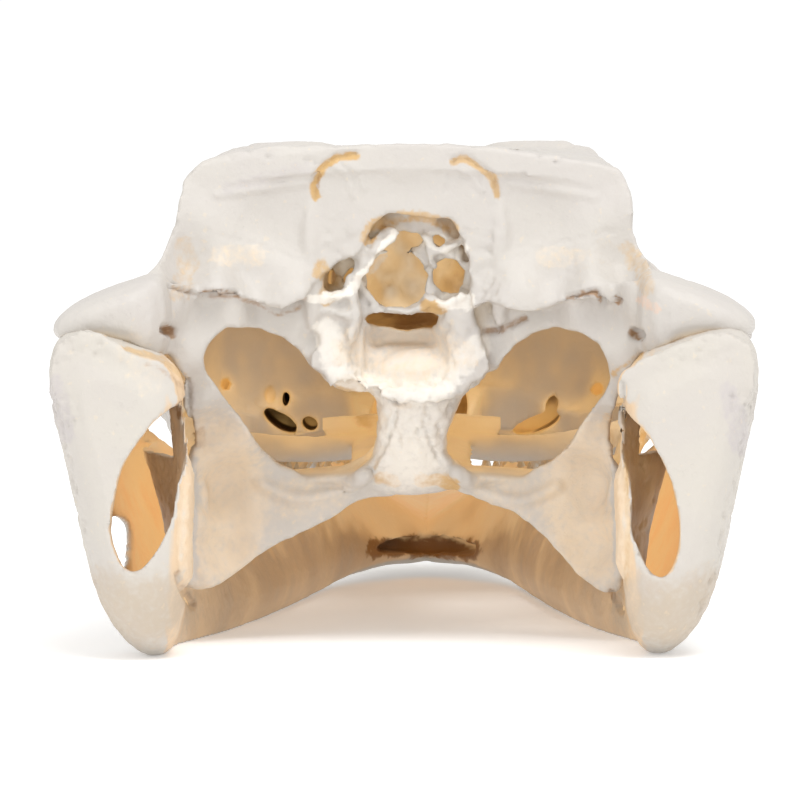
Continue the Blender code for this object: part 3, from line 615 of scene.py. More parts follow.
# Openings cut through the hull, in millimetres: the axis each runs along, its two levels and its outline.
openings = {
    "paired": {
        "orbit": (2, 46.0, 90.0, ellipse((20.5, -17.5), (13.2, 19.0), -0.12, 36)),
        "cheekGap": (0, 30.0, 60.0, smoothLine([
            (-46.0, 51.5), (-44.0, 60.0), (-52.0, 63.5), (-66.0, 60.0), (-74.0, 56.5), (-62.0, 53.5),
        ], 6, closed=True)),
        "upperGap": (2, 66.0, 90.0, ellipse((14.0, -60.0), (5.0, 7.6), 0.25)),
        "palateGap": (2, 10.0, 44.0, smoothLine([
            (12.0, 17.0), (20.0, 15.0), (29.0, 3.0), (35.0, -15.0), (37.0, -32.0), (30.0, -44.0),
            (16.0, -44.0), (9.5, -30.0), (9.0, -8.0), (9.5, 8.0),
        ], 5, closed=True)),
    },
    "single": {
        "nostril": (2, 29.0, 60.0, smoothLine([
            (0, 99), (6.5, 96), (7.5, 90), (4.5, 85), (0, 83.5), (-4.5, 85), (-7.5, 90), (-6.5, 96),
        ], 5, closed=True)),
        "underGap": (2, 0.0, 47.0, [
            (-44.5, -100.0), (44.5, -100.0), (42.0, -60.0), (38.5, -43.0), (-38.5, -43.0), (-42.0, -60.0),
        ]),
    },
    # The dark holes in the wall ahead of the eyes: y of the wall, millimetres a pixel covers there,
    # where each starts, and where the inner and the outer ones end.
    "wallPlace": 14.0,
    "wallPixel": 0.169,
    "holeStart": 2.0,
    "holeEnds": (34.0, 15.0),
    "outerFrom": 25.0,
}


def hullOpenings():
    cutters = []
    for name, (axis, low, high, outline) in openings["paired"].items():
        cutters += both(prism(name, outline, axis, low, high))
    for name, (axis, low, high, outline) in openings["single"].items():
        cutters.append(prism(name, outline, axis, low, high))
    for middle, halves, turn in skull["darkHoles"]:
        x, z = fromPhoto([middle], openings["wallPlace"])[0]
        outline = ellipse((x, z), np.array(halves) * openings["wallPixel"], -turn, 16)
        end = openings["holeEnds"][0 if abs(x) < openings["outerFrom"] else 1]
        cutters.append(prism("darkHole", outline, 1, openings["holeStart"], end))
    return cutters


sideways, lengthways, upright = (1, 0, 0), (0, 1, 0), (0, 0, 1)

# Raised parts of the roof: the direction of each one's width and its rows of x, y, z, half width
# and half thickness, in millimetres.
ridges = {
    "paired": {
        "brow": (sideways, [
            (19.0, 6.0, 63.0, 2.2, 1.8), (11.0, 0.0, 66.5, 2.6, 2.0), (8.5, -12.0, 70.5, 2.6, 2.2),
            (9.5, -24.0, 74.0, 2.4, 2.2), (15.0, -35.5, 76.6, 2.8, 2.2), (25.0, -40.5, 76.8, 2.6, 2.2),
        ]),
        "eyeRim": (sideways, [
            (19.0, 6.0, 62.0, 2.0, 2.0), (28.0, 1.5, 58.5, 2.2, 2.0), (34.0, -10.0, 56.0, 2.2, 2.2),
            (36.5, -24.0, 55.5, 2.4, 2.2), (34.5, -38.0, 58.0, 2.6, 2.4), (29.0, -43.0, 68.0, 2.4, 2.4),
            (28.0, -43.0, 76.0, 2.8, 2.2),
        ]),
        "tableEdge": (sideways, [
            (27.0, -41.0, 76.4, 2.4, 2.0), (29.8, -58.0, 76.2, 2.6, 2.2), (31.0, -81.5, 74.6, 2.6, 2.6),
        ]),
        "jugal": (sideways, [
            (37.5, 0.0, 34.0, 1.8, 5.0), (42.5, -20.0, 40.0, 1.8, 5.0), (47.5, -45.0, 45.5, 1.9, 4.4),
            (50.8, -70.0, 49.2, 2.0, 4.0), (51.5, -88.0, 51.4, 2.2, 3.0),
        ]),
    },
    "single": {
        "bridge": (lengthways, [
            (-19.0, 6.0, 62.8, 1.6, 1.8), (-8.0, 8.5, 65.0, 1.6, 1.8), (0.0, 7.0, 66.4, 1.6, 1.8),
            (8.0, 8.5, 65.0, 1.6, 1.8), (19.0, 6.0, 62.8, 1.6, 1.8),
        ]),
        "nostrilRim": (upright, [
            (0.0, 100.5, 39.0, 1.7, 1.7), (7.0, 97.5, 39.0, 1.7, 1.7), (9.0, 91.0, 39.8, 1.7, 1.7),
            (6.0, 84.5, 40.4, 1.7, 1.7), (0.0, 82.2, 41.0, 1.7, 1.7), (-6.0, 84.5, 40.4, 1.7, 1.7),
            (-9.0, 91.0, 39.8, 1.7, 1.7), (-7.0, 97.5, 39.0, 1.7, 1.7), (0.0, 100.5, 39.0, 1.7, 1.7),
        ]),
    },
}


# Strokes of bone from such a table, in the middle or on both sides.
def bars(table, sides=(1,)):
    made = []
    for side in sides:
        for name, (across, rows) in table.items():
            rows = np.array(rows, float) * (side, 1, 1, 1, 1)
            if name == "tableEdge":
                rows[1:, 2] -= skull["cornerHang"][0 if side > 0 else 1]
            made.append(stroke(name, rows[:, :3], rows[:, 3:], across))
    return made


# The quadrate of one side, a wedge that runs back and out from the braincase to the jaw joint. Its
# section on the left in x and z, the middle that it shrinks to, and at each y its size and drop.
quadrateBone = {
    "section": [
        (-37.5, 59.5), (-44.0, 58.4), (-51.0, 55.6), (-54.8, 52.6), (-54.4, 49.8), (-48.0, 49.0),
        (-42.0, 48.0), (-38.0, 46.8), (-36.4, 52.0),
    ],
    "middle": (-45.0, 54.6),
    "half": 8.0,
    "stations": [
        (-62.0, 0.45, 3.4), (-70.0, 0.72, 2.2), (-79.0, 0.94, 0.9), (-88.0, 1.0, 0.0),
        (-97.0, 0.98, 0.0), (-101.5, 0.9, 0.2), (-104.0, 0.68, 0.4), (-105.2, 0.34, 0.6),
    ],
}


def quadrate(grow=0.0):
    rings = []
    middle = np.array(quadrateBone["middle"])
    reach = np.array(quadrateBone["section"]) - middle
    for y, size, drop in quadrateBone["stations"]:
        loop = middle + reach * (size + grow / quadrateBone["half"]) - np.array((0, drop))
        line = smoothLine(loop, mesh["ringSteps"], closed=True)
        rings.append(np.insert(line, 1, y - grow, axis=1))
    return loft("quadrate", rings)


# The two plates seen from behind, in millimetres: the occiput, broken open at its middle, and the cheek
# with the band under the ledge, the strip beside the window and the pterygoid's wing. Depths are rows of
# x, z and y. The cheek is drawn on the left.
plates = {
    "occiputPlace": -84.0,
    "occiputThickness": 4.0,
    "occiputBreaks": (0.35, 0.8, 3.0),   # how far the edge wanders, in what steps, and a seed
    "occiputDepth": [
        (0.0, 79.0, -84.6), (28.0, 77.0, -84.2), (0.0, 70.0, -83.2), (20.0, 66.0, -82.6),
        (34.0, 62.0, -85.0), (30.0, 56.0, -91.5), (18.0, 54.0, -87.6), (40.0, 58.0, -94.0),
        (10.0, 60.0, -83.0), (24.0, 60.5, -84.5),
    ],
    "windowPlace": -80.0,
    "wingPlace": -74.0,
    "cheekThickness": 2.4,
    "cheekBreaks": (0.2, 0.9),
    "windowBreaks": (0.22, 0.9),
    "cheekTop": [
        (-2.0, 30.6), (-5.0, 31.6), (-4.2, 39.4), (-6.0, 41.0), (-6.6, 45.0), (-7.0, 54.5),
        (-15.0, 56.5), (-22.0, 55.8), (-30.0, 57.5), (-38.5, 58.5), (-41.0, 54.0), (-40.0, 50.0),
        (-38.6, 48.4), (-37.0, 46.8), (-34.8, 43.6),
    ],
    "cheekDepth": [
        (-38.0, 55.0, -96.0), (-30.0, 54.0, -88.0), (-20.0, 53.0, -82.5), (-10.0, 50.0, -79.0),
        (-36.0, 46.0, -93.0), (-33.5, 40.0, -87.0), (-31.0, 34.0, -78.5), (-35.0, 30.0, -77.5),
        (-35.0, 20.0, -76.5), (-34.0, 11.0, -75.0), (-29.0, 24.0, -69.5), (-28.0, 15.0, -71.0),
        (-20.0, 24.0, -68.5), (-10.0, 26.0, -68.0), (-3.0, 27.5, -67.0),
    ],
}


def occiput():
    outline = ragged(fromPhoto(skull["occiput"], plates["occiputPlace"]), *plates["occiputBreaks"])
    rows = [(side * x, z, y) for x, z, y in plates["occiputDepth"] for side in ((-1, 1) if x else (1,))]
    return relief("occiput", outline, depthFrom(rows), plates["occiputThickness"])


def cheek(side):
    end = "Left" if side < 0 else "Right"
    outline = [(-side * x, z) for x, z in plates["cheekTop"]]
    outline += fromPhoto(skull["wing" + end], plates["wingPlace"])
    depth = depthFrom([(-side * x, z, y) for x, z, y in plates["cheekDepth"]])
    hole = fromPhoto(skull["window" + end], plates["windowPlace"])
    hole = ragged(hole, *plates["windowBreaks"], 5.0 + side)
    outline = ragged(outline, *plates["cheekBreaks"], 8.0 + side)
    return relief("cheek", outline, depth, plates["cheekThickness"], holes=[hole])


# The broken braincase and the palate: bars as rows of x, y, z, half width and half thickness, then the
# septa of the air cells, the wall ahead of them, the basin and the threads of bone, in millimetres.
case = {
    "walls": {
        "sideWall": (sideways, [
            (15.0, -82.0, 62.0, 2.0, 12.0), (14.0, -72.0, 62.0, 2.0, 13.0), (12.0, -60.0, 62.0, 1.9, 13.0),
            (9.0, -48.0, 64.0, 1.8, 11.0), (6.0, -38.0, 68.0, 1.5, 6.0),
        ]),
    },
    "floor": {
        "floor": (sideways, [
            (0.0, -76.0, 46.0, 14.0, 1.8), (0.0, -64.0, 48.0, 13.0, 1.8), (0.0, -50.0, 54.0, 9.0, 1.8),
            (0.0, -40.0, 62.0, 5.0, 2.0),
        ]),
    },
    "middle": {
        "column": (sideways, [
            (1.2, -76.5, 44.0, 7.8, 3.6), (1.6, -74.0, 39.5, 6.9, 4.4), (0.8, -72.5, 35.0, 5.9, 4.0),
            (0.4, -70.5, 30.0, 6.2, 3.2), (0.4, -68.0, 26.0, 9.0, 2.6),
        ]),
        "pterygoid": (sideways, [
            (0.4, -68.0, 26.0, 12.0, 2.2), (0.2, -58.0, 27.5, 10.0, 2.4), (0.0, -44.0, 30.6, 10.0, 1.8),
            (0.0, -34.0, 32.6, 9.0, 1.6),
        ]),
    },
    "palate": {
        "ectopterygoid": (sideways, [
            (33.0, -72.0, 22.0, 1.6, 6.0), (34.0, -60.0, 26.0, 1.7, 4.4), (36.0, -44.0, 31.0, 2.0, 3.0),
            (39.0, -26.0, 34.0, 2.0, 3.6),
        ]),
        "frontBar": (lengthways, [
            (4.0, -43.0, 30.6, 1.5, 2.2), (13.0, -44.0, 29.6, 1.5, 2.2), (22.0, -44.5, 29.7, 1.5, 2.2),
            (31.0, -45.0, 31.2, 1.5, 2.2), (37.0, -46.0, 33.0, 1.5, 2.2),
        ]),
        "wingRoof": (lengthways, [
            (5.0, -66.0, 27.0, 7.0, 1.4), (16.0, -62.0, 26.0, 7.0, 1.4), (26.0, -62.0, 25.0, 7.0, 1.4),
            (33.0, -64.0, 23.0, 5.0, 1.4),
        ]),
    },
    "cellPlace": -78.0,
    "cellPixel": 0.1587,     # millimetres that a pixel covers there
    "septaDepth": -78.6,
    "septaRipple": 0.9,
    "septaThickness": 1.3,
    "backDepth": -71.5,
    "backRipple": 1.4,
    "backThickness": 1.4,
    "basinPlace": -80.0,
    "basinDepth": -81.5,
    "basinHollow": 7.5,
    "basinMiddle": (-1.0, 47.2),
    "basinHalves": (6.6, 4.9),
    "basinThickness": 2.2,
    # Broken edges: how far they wander, in what steps, and a seed.
    "cellBreaks": (0.3, 0.5),
    "basinBreaks": (0.5, 0.6, 2.0),
    "strandWander": 0.8,
}


# Depths y of the septa, of the wall ahead of them and of the basin, at x and z.
def septaAt(x, z):
    return case["septaDepth"] + 0.05 * abs(x) + case["septaRipple"] * math.sin(0.7 * x + 0.5 * z)


def cellsAt(x, z):
    ripple = case["backRipple"] * math.sin(0.9 * x + 1.0) * math.sin(0.7 * z)
    return case["backDepth"] + 0.02 * (x + 1.5) ** 2 - 0.03 * (z - 58.0) ** 2 + ripple


def basinAt(x, z):
    across = (x - case["basinMiddle"][0]) / case["basinHalves"][0]
    upward = (z - case["basinMiddle"][1]) / case["basinHalves"][1]
    return case["basinDepth"] + case["basinHollow"] * math.exp(-(across**4) - upward**4)


def braincase():
    pieces = bars(case["walls"], (-1, 1)) + bars(case["floor"])
    holes = []
    for middle, halves, turn in skull["cellHoles"]:
        centre = fromPhoto([middle], case["cellPlace"])[0]
        oval = ellipse(centre, np.array(halves) * case["cellPixel"], turn)
        holes.append(ragged(oval, *case["cellBreaks"], middle[0] * 0.1))
    edge = fromPhoto(skull["septaEdge"], case["cellPlace"])
    pieces.append(relief("septa", edge, septaAt, case["septaThickness"], holes, spacing=0.9))
    pieces.append(relief("cells", edge, cellsAt, case["backThickness"], spacing=1.0))
    rim = ragged(fromPhoto(skull["basinEdge"], case["basinPlace"]), *case["basinBreaks"])
    pieces.append(relief("basin", rim, basinAt, case["basinThickness"], spacing=0.9))
    for spots, y, half, deep in skull["strands"]:
        flat = enumerate(fromPhoto(spots, y))
        path = [(x, y + case["strandWander"] * math.sin(3 * k), z) for k, (x, z) in flat]
        pieces.append(stroke("strand", path, [(half, deep)] * len(path), across=(0.6, 0, 0.8)))
    return pieces + bars(case["middle"]) + bars(case["palate"], (-1, 1))


# Teeth: y of each and its length, both rows in millimetres.
teeth = {
    "upper": [
        (105.5, 3.0), (101.5, 3.6), (96.5, 4.8), (90.5, 5.4), (84.5, 3.8), (76.5, 2.8), (71.0, 3.2),
        (64.5, 4.6), (57.5, 6.0), (50.5, 5.2), (44.0, 4.2), (37.5, 3.8), (31.0, 3.6), (25.0, 3.4),
        (19.0, 3.2), (13.0, 3.0), (7.0, 2.8), (1.0, 2.5), (-5.0, 2.2),
    ],
    "lower": [
        (104.0, 4.6), (99.0, 3.4), (94.0, 3.2), (87.0, 5.2), (80.0, 3.2), (74.0, 2.8), (67.0, 2.8),
        (61.0, 3.0), (53.0, 3.4), (46.0, 4.2), (40.0, 4.4), (34.0, 3.8), (28.0, 3.4), (22.0, 3.2),
        (16.0, 3.0), (10.0, 2.8), (4.0, 2.6), (-2.0, 2.4), (-8.0, 2.2),
    ],
    "sides": 18,
    "radius": (0.85, 0.14),   # of the shortest tooth, and more for each millimetre of length
    # Rows from root to tip: share of the way, lean to the rear, half width and half thickness in radii.
    "profile": [
        (-0.4, 0.0, 0.96, 0.9), (0.0, 0.0, 1.0, 0.94), (0.35, -0.12, 0.84, 0.76), (0.7, -0.1, 0.48, 0.42),
    ],
    "tip": (0.14, 0.12),
    "inward": 0.93,           # of the upper teeth, as a share of the margin's x
    "sunk": {"upper": 0.6, "lower": 0.4},
    "socketRim": 1.32,        # radius of the bone round each root, over the tooth's own
}


# Root and tip of each tooth of one row, on both sides, with its radius.
def toothPlaces(row):
    places = []
    for y, length in teeth[row]:
        radius = teeth["radius"][0] + teeth["radius"][1] * length
        for side in (-1, 1):
            if row == "upper":
                x, z = hullAt(y, 2) * teeth["inward"], hullAt(y, 3) + teeth["sunk"][row]
                root, tip = (side * x, y, z), (side * (x + 0.3), y + 0.3, z - teeth["sunk"][row] - length)
            else:
                x, z = jawAt(y, 9), jawAt(y, 10) - teeth["sunk"][row]
                root, tip = (side * x, y, z), (side * (x - 0.1), y + 0.4, z + teeth["sunk"][row] + length)
            places.append((np.array(root), np.array(tip), radius))
    return places


def toothRow(name, row):
    things = []
    for root, tip, radius in toothPlaces(row):
        reach = tip - root
        path, sizes = [], []
        for share, lean, wide, thick in teeth["profile"]:
            path.append(root + reach * share + np.array((0, lean * radius, 0)))
            sizes.append((wide * radius, thick * radius))
        path.append(tip)
        sizes.append(teeth["tip"])
        things.append(stroke("tooth", path, sizes, across=(0, 1, 0), sides=teeth["sides"], steps=4))
    return gather(name, things)


# Low collars of bone round the roots.
def socketRims(row):
    rims = []
    for root, tip, radius in toothPlaces(row):
        reach = (tip - root) / np.linalg.norm(tip - root)
        wide = radius * teeth["socketRim"]
        path = [root - reach * 2.4, root + reach * 0.2, root + reach * 0.55]
        rims.append(stroke("rim", path, [(wide, wide), (wide, wide), (wide * 0.9, wide * 0.9)],
                           across=(0, 1, 0), steps=2))
    return rims


# Lines that both the carving and the paint follow, in pixels of the photograph: ochre stains along the arcs,
# brown painted shade in the slot and the holes.
lines = {
    "arcLeft": [(355, 156), (338, 158), (322, 168), (314, 185), (316, 197)],
    "arcRight": [(453, 162), (465, 159), (479, 168), (493, 178), (497, 196)],
    "slotRight": [(485, 331), (499, 331), (511, 325), (525, 318)],
    "holeRight": [(617, 300), (619, 302)],
    "nerveLeft": [(165, 330), (171, 332)],
    "nerveRight": [(633, 334), (639, 336)],
}

# Surface marks, in pixels of the photograph. Each is a line, its half width there, and a depth in
# millimetres that is below nought where the mark stands out.
marks = {
    "arcLeft": (lines["arcLeft"], 3.0, 0.7),
    "arcRight": (lines["arcRight"], 2.6, 0.6),
    "lipLeft": ([(332, 166), (342, 172), (350, 184), (352, 198)], 3.5, -0.35),
    "lipLeftInner": ([(345, 164), (358, 174), (364, 190)], 3.0, -0.3),
    "lipRight": ([(460, 172), (472, 178), (482, 192)], 3.5, -0.3),
    "neckRidgeLeft": ([(217, 197), (262, 190), (306, 184)], 5.0, -0.35),
    "neckRidgeRight": ([(595, 199), (550, 191), (512, 186)], 5.0, -0.3),
    "crownCrack": ([(450, 168), (447, 180), (442, 200)], 1.2, 0.25),
    "slitLeft": ([(170, 287), (201, 296), (220, 294), (238, 296)], 2.2, 0.8),
    "slitLeftDeep": ([(206, 294), (222, 294), (237, 294)], 3.4, 1.6),
    "slitRight": ([(566, 299), (582, 294), (596, 292), (604, 304)], 2.6, 1.2),
    "slotRight": (lines["slotRight"], 4.0, 1.1),
    "holeRight": (lines["holeRight"], 4.0, 1.6),
    "nerveLeft": (lines["nerveLeft"], 5.5, 1.8),
    "nerveRight": (lines["nerveRight"], 5.5, 1.8),
    "beadLeft": ([(196, 448), (189, 483), (186, 516), (185, 557), (190, 580)], 5.0, -0.9),
    "beadRight": ([(608, 446), (617, 475), (622, 508), (622, 541), (618, 574)], 5.0, -0.9),
    "wingLeft": ([(222, 455), (234, 495), (222, 535)], 30.0, 0.8),
    "wingRight": ([(588, 460), (576, 500), (588, 540)], 30.0, 0.8),
    "strutLeft": ([(380, 462), (345, 487), (300, 497), (262, 484)], 8.0, -1.1),
    "strutRight": ([(444, 462), (480, 488), (520, 500), (556, 486)], 8.0, -1.1),
    "columnGroove": ([(390, 392), (396, 410), (390, 432), (383, 450), (375, 468)], 2.0, 0.6),
    "columnGrooveRight": ([(430, 396), (424, 418), (430, 440), (440, 462)], 1.8, 0.45),
    "socketSplitLeft": ([(187, 380), (190, 410), (192, 450)], 2.0, 0.7),
    "socketSplitRight": ([(624, 384), (622, 414), (619, 446)], 2.0, 0.7),
    "sutureLeft": ([(206, 232), (232, 240), (262, 246), (300, 262)], 1.4, 0.18),
    "sutureRight": ([(612, 232), (580, 240), (548, 246), (508, 262)], 1.4, 0.18),
    "wingPitsRight": ([(508, 512), (512, 524)], 2.4, 0.6),
    "keelSlotLeft": ([(178, 574), (184, 590), (193, 603)], 3.4, 1.2),
    "keelSlotRight": ([(611, 592), (621, 608)], 3.4, 1.2),
    "rimPits": ([(231, 160)], 2.2, 0.5),
    "rimPitsMid": ([(268, 159)], 2.2, 0.5),
    "rimPitsInner": ([(304, 162), (314, 163)], 2.2, 0.5),
    "rimPitsRight": ([(538, 158)], 2.2, 0.5),
    "rimPitsLow": ([(524, 177)], 2.0, 0.4),
    "rimPitsFar": ([(556, 164)], 2.0, 0.4),
}


# Relief of the bone's skin, in millimetres. Each layer is what it is, its depth and its settings.
surface = {
    "everywhere": [(lumps, 0.10, (6.0, 1.0)), (lumps, 0.05, (2.0, 2.0))],
    "crumbly": [(lumps, 0.34, (1.5, 4.0)), (lumps, 0.2, (0.75, 5.0)), (pits, 0.45, (1.7, 0.42, 6.0))],
    "pitted": [(pits, 0.62, (2.6, 0.46, 7.0)), (pits, 0.24, (1.1, 0.42, 8.0))],
    "fibres": (1.2, 1.2, 0.16),   # how fast upright streaks change along each axis
    "fibreDepth": 0.06,
    "fibresFrom": (60.0, 80.0),
    "marksBehind": -62.0,
    "markWobble": 1.4,            # pixels
    "least": 0.02,
}


def layered(points, layers):
    return sum(deep * kind(points, *settings) for kind, deep, settings in layers)


# Gives a fresh skin its lumps, pits and marks, in millimetres along its normals.
def sculpt(thing, crumbly, pitted):
    points, normals = readPoints(thing), readNormals(thing)
    depth = layered(points, surface["everywhere"])
    fibres = lumps(points * np.array(surface["fibres"]), 1.0, 3.0)
    depth += surface["fibreDepth"] * fibres * ramp(-points[:, 1], *surface["fibresFrom"])
    for share, layers in ((crumbly(points), "crumbly"), (pitted(points, normals), "pitted")):
        where = share > surface["least"]
        depth[where] += share[where] * layered(points[where], surface[layers])
    pixels = toPhoto(points * mm)
    behind = (points[:, 1] < surface["marksBehind"]) & (normals[:, 1] < 0.1)
    spots = np.nonzero(behind)[0]
    for line, half, deep in marks.values():
        near = pixels[spots]
        box = np.array(line, float)
        low, high = box.min(0) - 2 * half - 4, box.max(0) + 2 * half + 4
        chosen = spots[((near > low) & (near < high)).all(1)]
        if len(chosen):
            line = smoothLine(line, 4) if len(line) > 1 else np.array([line[0], line[0]])
            gap = lineDistance(pixels[chosen], line)
            wobble = surface["markWobble"] * lumps(points[chosen], 0.9, 9.0)
            depth[chosen] += deep * ramp(gap + wobble, half * 1.3, half * 0.2)
    depth += sideMarks(points, normals, thing.name)
    writePoints(thing, points - normals * depth[:, None])
    return thing


# Sutures and small nerve holes on the roof in (x, y) and on the flanks in (y, z), in millimetres, on
# both sides. Each is a line, its half width and its depth.
seams = {
    "roof": [
        ([(0.0, 82.0), (0.3, 62.0), (-0.2, 40.0), (0.0, 12.0)], 0.45, 0.32),
        ([(0.5, 76.0), (6.0, 71.0), (9.0, 76.0), (15.0, 78.0)], 0.45, 0.30),
        ([(3.5, 72.0), (5.5, 55.0), (8.0, 34.0), (12.0, 12.0), (18.0, 6.0)], 0.45, 0.30),
        ([(2.0, 10.0), (3.5, -4.0), (8.0, -14.0)], 0.4, 0.25),
        ([(0.0, -36.0), (8.0, -38.0), (16.0, -42.0), (24.0, -44.0)], 0.5, 0.32),
        ([(18.0, -44.0), (20.0, -58.0), (23.0, -72.0), (25.0, -84.0)], 0.45, 0.28),
        ([(0.0, -68.0), (6.0, -72.0), (11.0, -84.0)], 0.45, 0.25),
    ],
    "flank": [
        ([(40.0, 36.0), (22.0, 38.0), (6.0, 44.0), (-2.0, 50.0)], 0.45, 0.28),
        ([(8.0, 36.0), (-6.0, 42.0), (-14.0, 46.0)], 0.45, 0.28),
        ([(-44.0, 50.0), (-60.0, 52.0), (-78.0, 53.5)], 0.45, 0.3),
    ],
    "jaw": [
        ([(24.0, 6.0), (0.0, 9.0), (-24.0, 12.0), (-48.0, 15.0), (-60.0, 17.0)], 0.5, 0.35),
        ([(6.0, 17.0), (-16.0, 19.0), (-40.0, 24.0), (-58.0, 22.0)], 0.5, 0.32),
        ([(-80.0, 18.0), (-92.0, 20.0), (-104.0, 24.0)], 0.5, 0.35),
    ],
    "roofTurn": 0.4,         # of the normal
    "roofLevel": 34.0,
    "flankTurn": 0.35,
    "flankAcross": 9.0,
    "wander": 0.5,
    "nerveHoles": 14,
    "nerveStep": 7.6,
    "nerveFront": 100.0,
    "nerveHalf": 0.55,
    "nerveDepth": 0.8,
    "upperRow": (2.2, 0.8, 2.1),    # level over the margin, swing and pace
    "lowerRow": (-5.0, 0.9, 1.7),
}


def sideMarks(points, normals, name):
    depth = np.zeros(len(points))
    upper = name.startswith("cranium")
    outward = normals[:, 0] * np.sign(points[:, 0])
    roof = (normals[:, 2] > seams["roofTurn"]) & (points[:, 2] > seams["roofLevel"])
    flank = (outward > seams["flankTurn"]) & (np.abs(points[:, 0]) > seams["flankAcross"])
    folded = np.stack([np.abs(points[:, 0]), points[:, 1]], 1)
    plans = [("jaw", flank, points[:, 1:])]
    if upper:
        plans = [("roof", roof, folded), ("flank", flank, points[:, 1:])]
    for plan, where, flat in plans:
        spots = np.nonzero(where)[0]
        shift = [lumps(points[spots], 1.3, seed) for seed in (11.0, 12.0)]
        crooked = flat[spots] + seams["wander"] * np.stack(shift, 1)
        for line, half, deep in seams[plan]:
            gap = lineDistance(crooked, smoothLine(line, 5))
            depth[spots] += deep * ramp(gap, half * 1.5, half * 0.2)
    spots = np.nonzero(flank)[0]
    level, swing, pace = seams["upperRow" if upper else "lowerRow"]
    for k in range(seams["nerveHoles"]):
        y = seams["nerveFront"] - k * seams["nerveStep"]
        z = (hullAt(y, 5) if upper else jawAt(y, 8)) + level + swing * math.sin(pace * k)
        gap = np.hypot(points[spots, 1] - y, points[spots, 2] - z)
        depth[spots] += seams["nerveDepth"] * ramp(gap, seams["nerveHalf"] * 1.4, seams["nerveHalf"] * 0.4)
    return depth


# Where the bones are crumbly or pitted: for each measure the values where it starts and is full.
zones = {
    "brokenMiddle": 0.8,              # x of the broken part of the braincase
    "brokenAcross": (15.5, 12.5),
    "brokenTop": (68.0, 65.0),
    "brokenFoot": (28.0, 32.0),
    "brokenRear": (60.0, 68.0),
    "calmHalves": (7.6, 5.2),         # the basin is smoother
    "calmEdge": (0.75, 1.1),
    "calmDepth": (74.0, 77.0),
    "columnTop": (46.0, 42.0),
    "roofTurn": (0.25, 0.6),          # of the normal
    "roofLevel": (30.0, 34.0),
    "roofRear": (-83.0, -80.0),
    "sideTurn": (0.4, 0.7),
    "sideAcross": (14.0, 18.0),
    "sideRear": (-96.0, -80.0),
    "outward": (0.1, 0.4),
    "hollowRear": (20.0, 50.0),       # inside the lower jaw
    "hollowMouth": (-109.0, -106.0),
    "hollowTop": (45.0, 39.0),
    "wornAcross": (49.5, 52.0),       # the worn patch on the outer edge
    "wornMiddle": 39.5,
    "wornHalf": (4.5, 1.5),
    "wornRear": (96.0, 100.0),
    "jointRear": (106.0, 108.5),
    "jointLevel": (44.0, 48.0),
    "jawTurn": (0.35, 0.7),
    "jawRearTurn": (0.55, 0.3),
    "jawRear": (10.0, 30.0),
    "jawLevel": (1.5, 5.0),
}


# Where the braincase is broken open its bone is crumbly.
def craniumCrumbly(points):
    x, y, z = points.T
    core = ramp(np.abs(x - zones["brokenMiddle"]), *zones["brokenAcross"])
    core *= ramp(z, *zones["brokenTop"]) * ramp(z, *zones["brokenFoot"]) * ramp(-y, *zones["brokenRear"])
    across = (x - case["basinMiddle"][0]) / zones["calmHalves"][0]
    upward = (z - case["basinMiddle"][1]) / zones["calmHalves"][1]
    calm = ramp(across**2 + upward**2, *zones["calmEdge"]) * (0.45 + 0.55 * ramp(-y, *zones["calmDepth"]))
    return core * calm * (0.8 + 0.6 * ramp(z, *zones["columnTop"]))


# Pitted sculpture on the snout, the table and the cheeks' outside.
def craniumPitted(points, normals):
    x, y, z = points.T
    top = ramp(normals[:, 2], *zones["roofTurn"]) * ramp(z, *zones["roofLevel"]) * ramp(y, *zones["roofRear"])
    side = ramp(np.abs(normals[:, 0]), *zones["sideTurn"]) * ramp(np.abs(x), *zones["sideAcross"])
    side *= ramp(y, *zones["sideRear"]) * ramp(normals[:, 0] * np.sign(x), *zones["outward"])
    return np.maximum(top, side * 0.8) * (0.55 + 0.45 * lumps(points, 14.0, 13.0))


def makeCranium():
    hull = cut(hullSkin(), [hullHollow()] + hullOpenings())
    parts = [hull, occiput(), cheek(-1), cheek(1)]
    parts += bars(ridges["paired"], (-1, 1)) + bars(ridges["single"]) + both(quadrate()) + braincase()
    parts += socketRims("upper")
    whole = largestPiece(soften(fuse("craniumBone", parts), 2))
    return thinOut(sculpt(whole, craniumCrumbly, craniumPitted), mesh["craniumTriangles"])


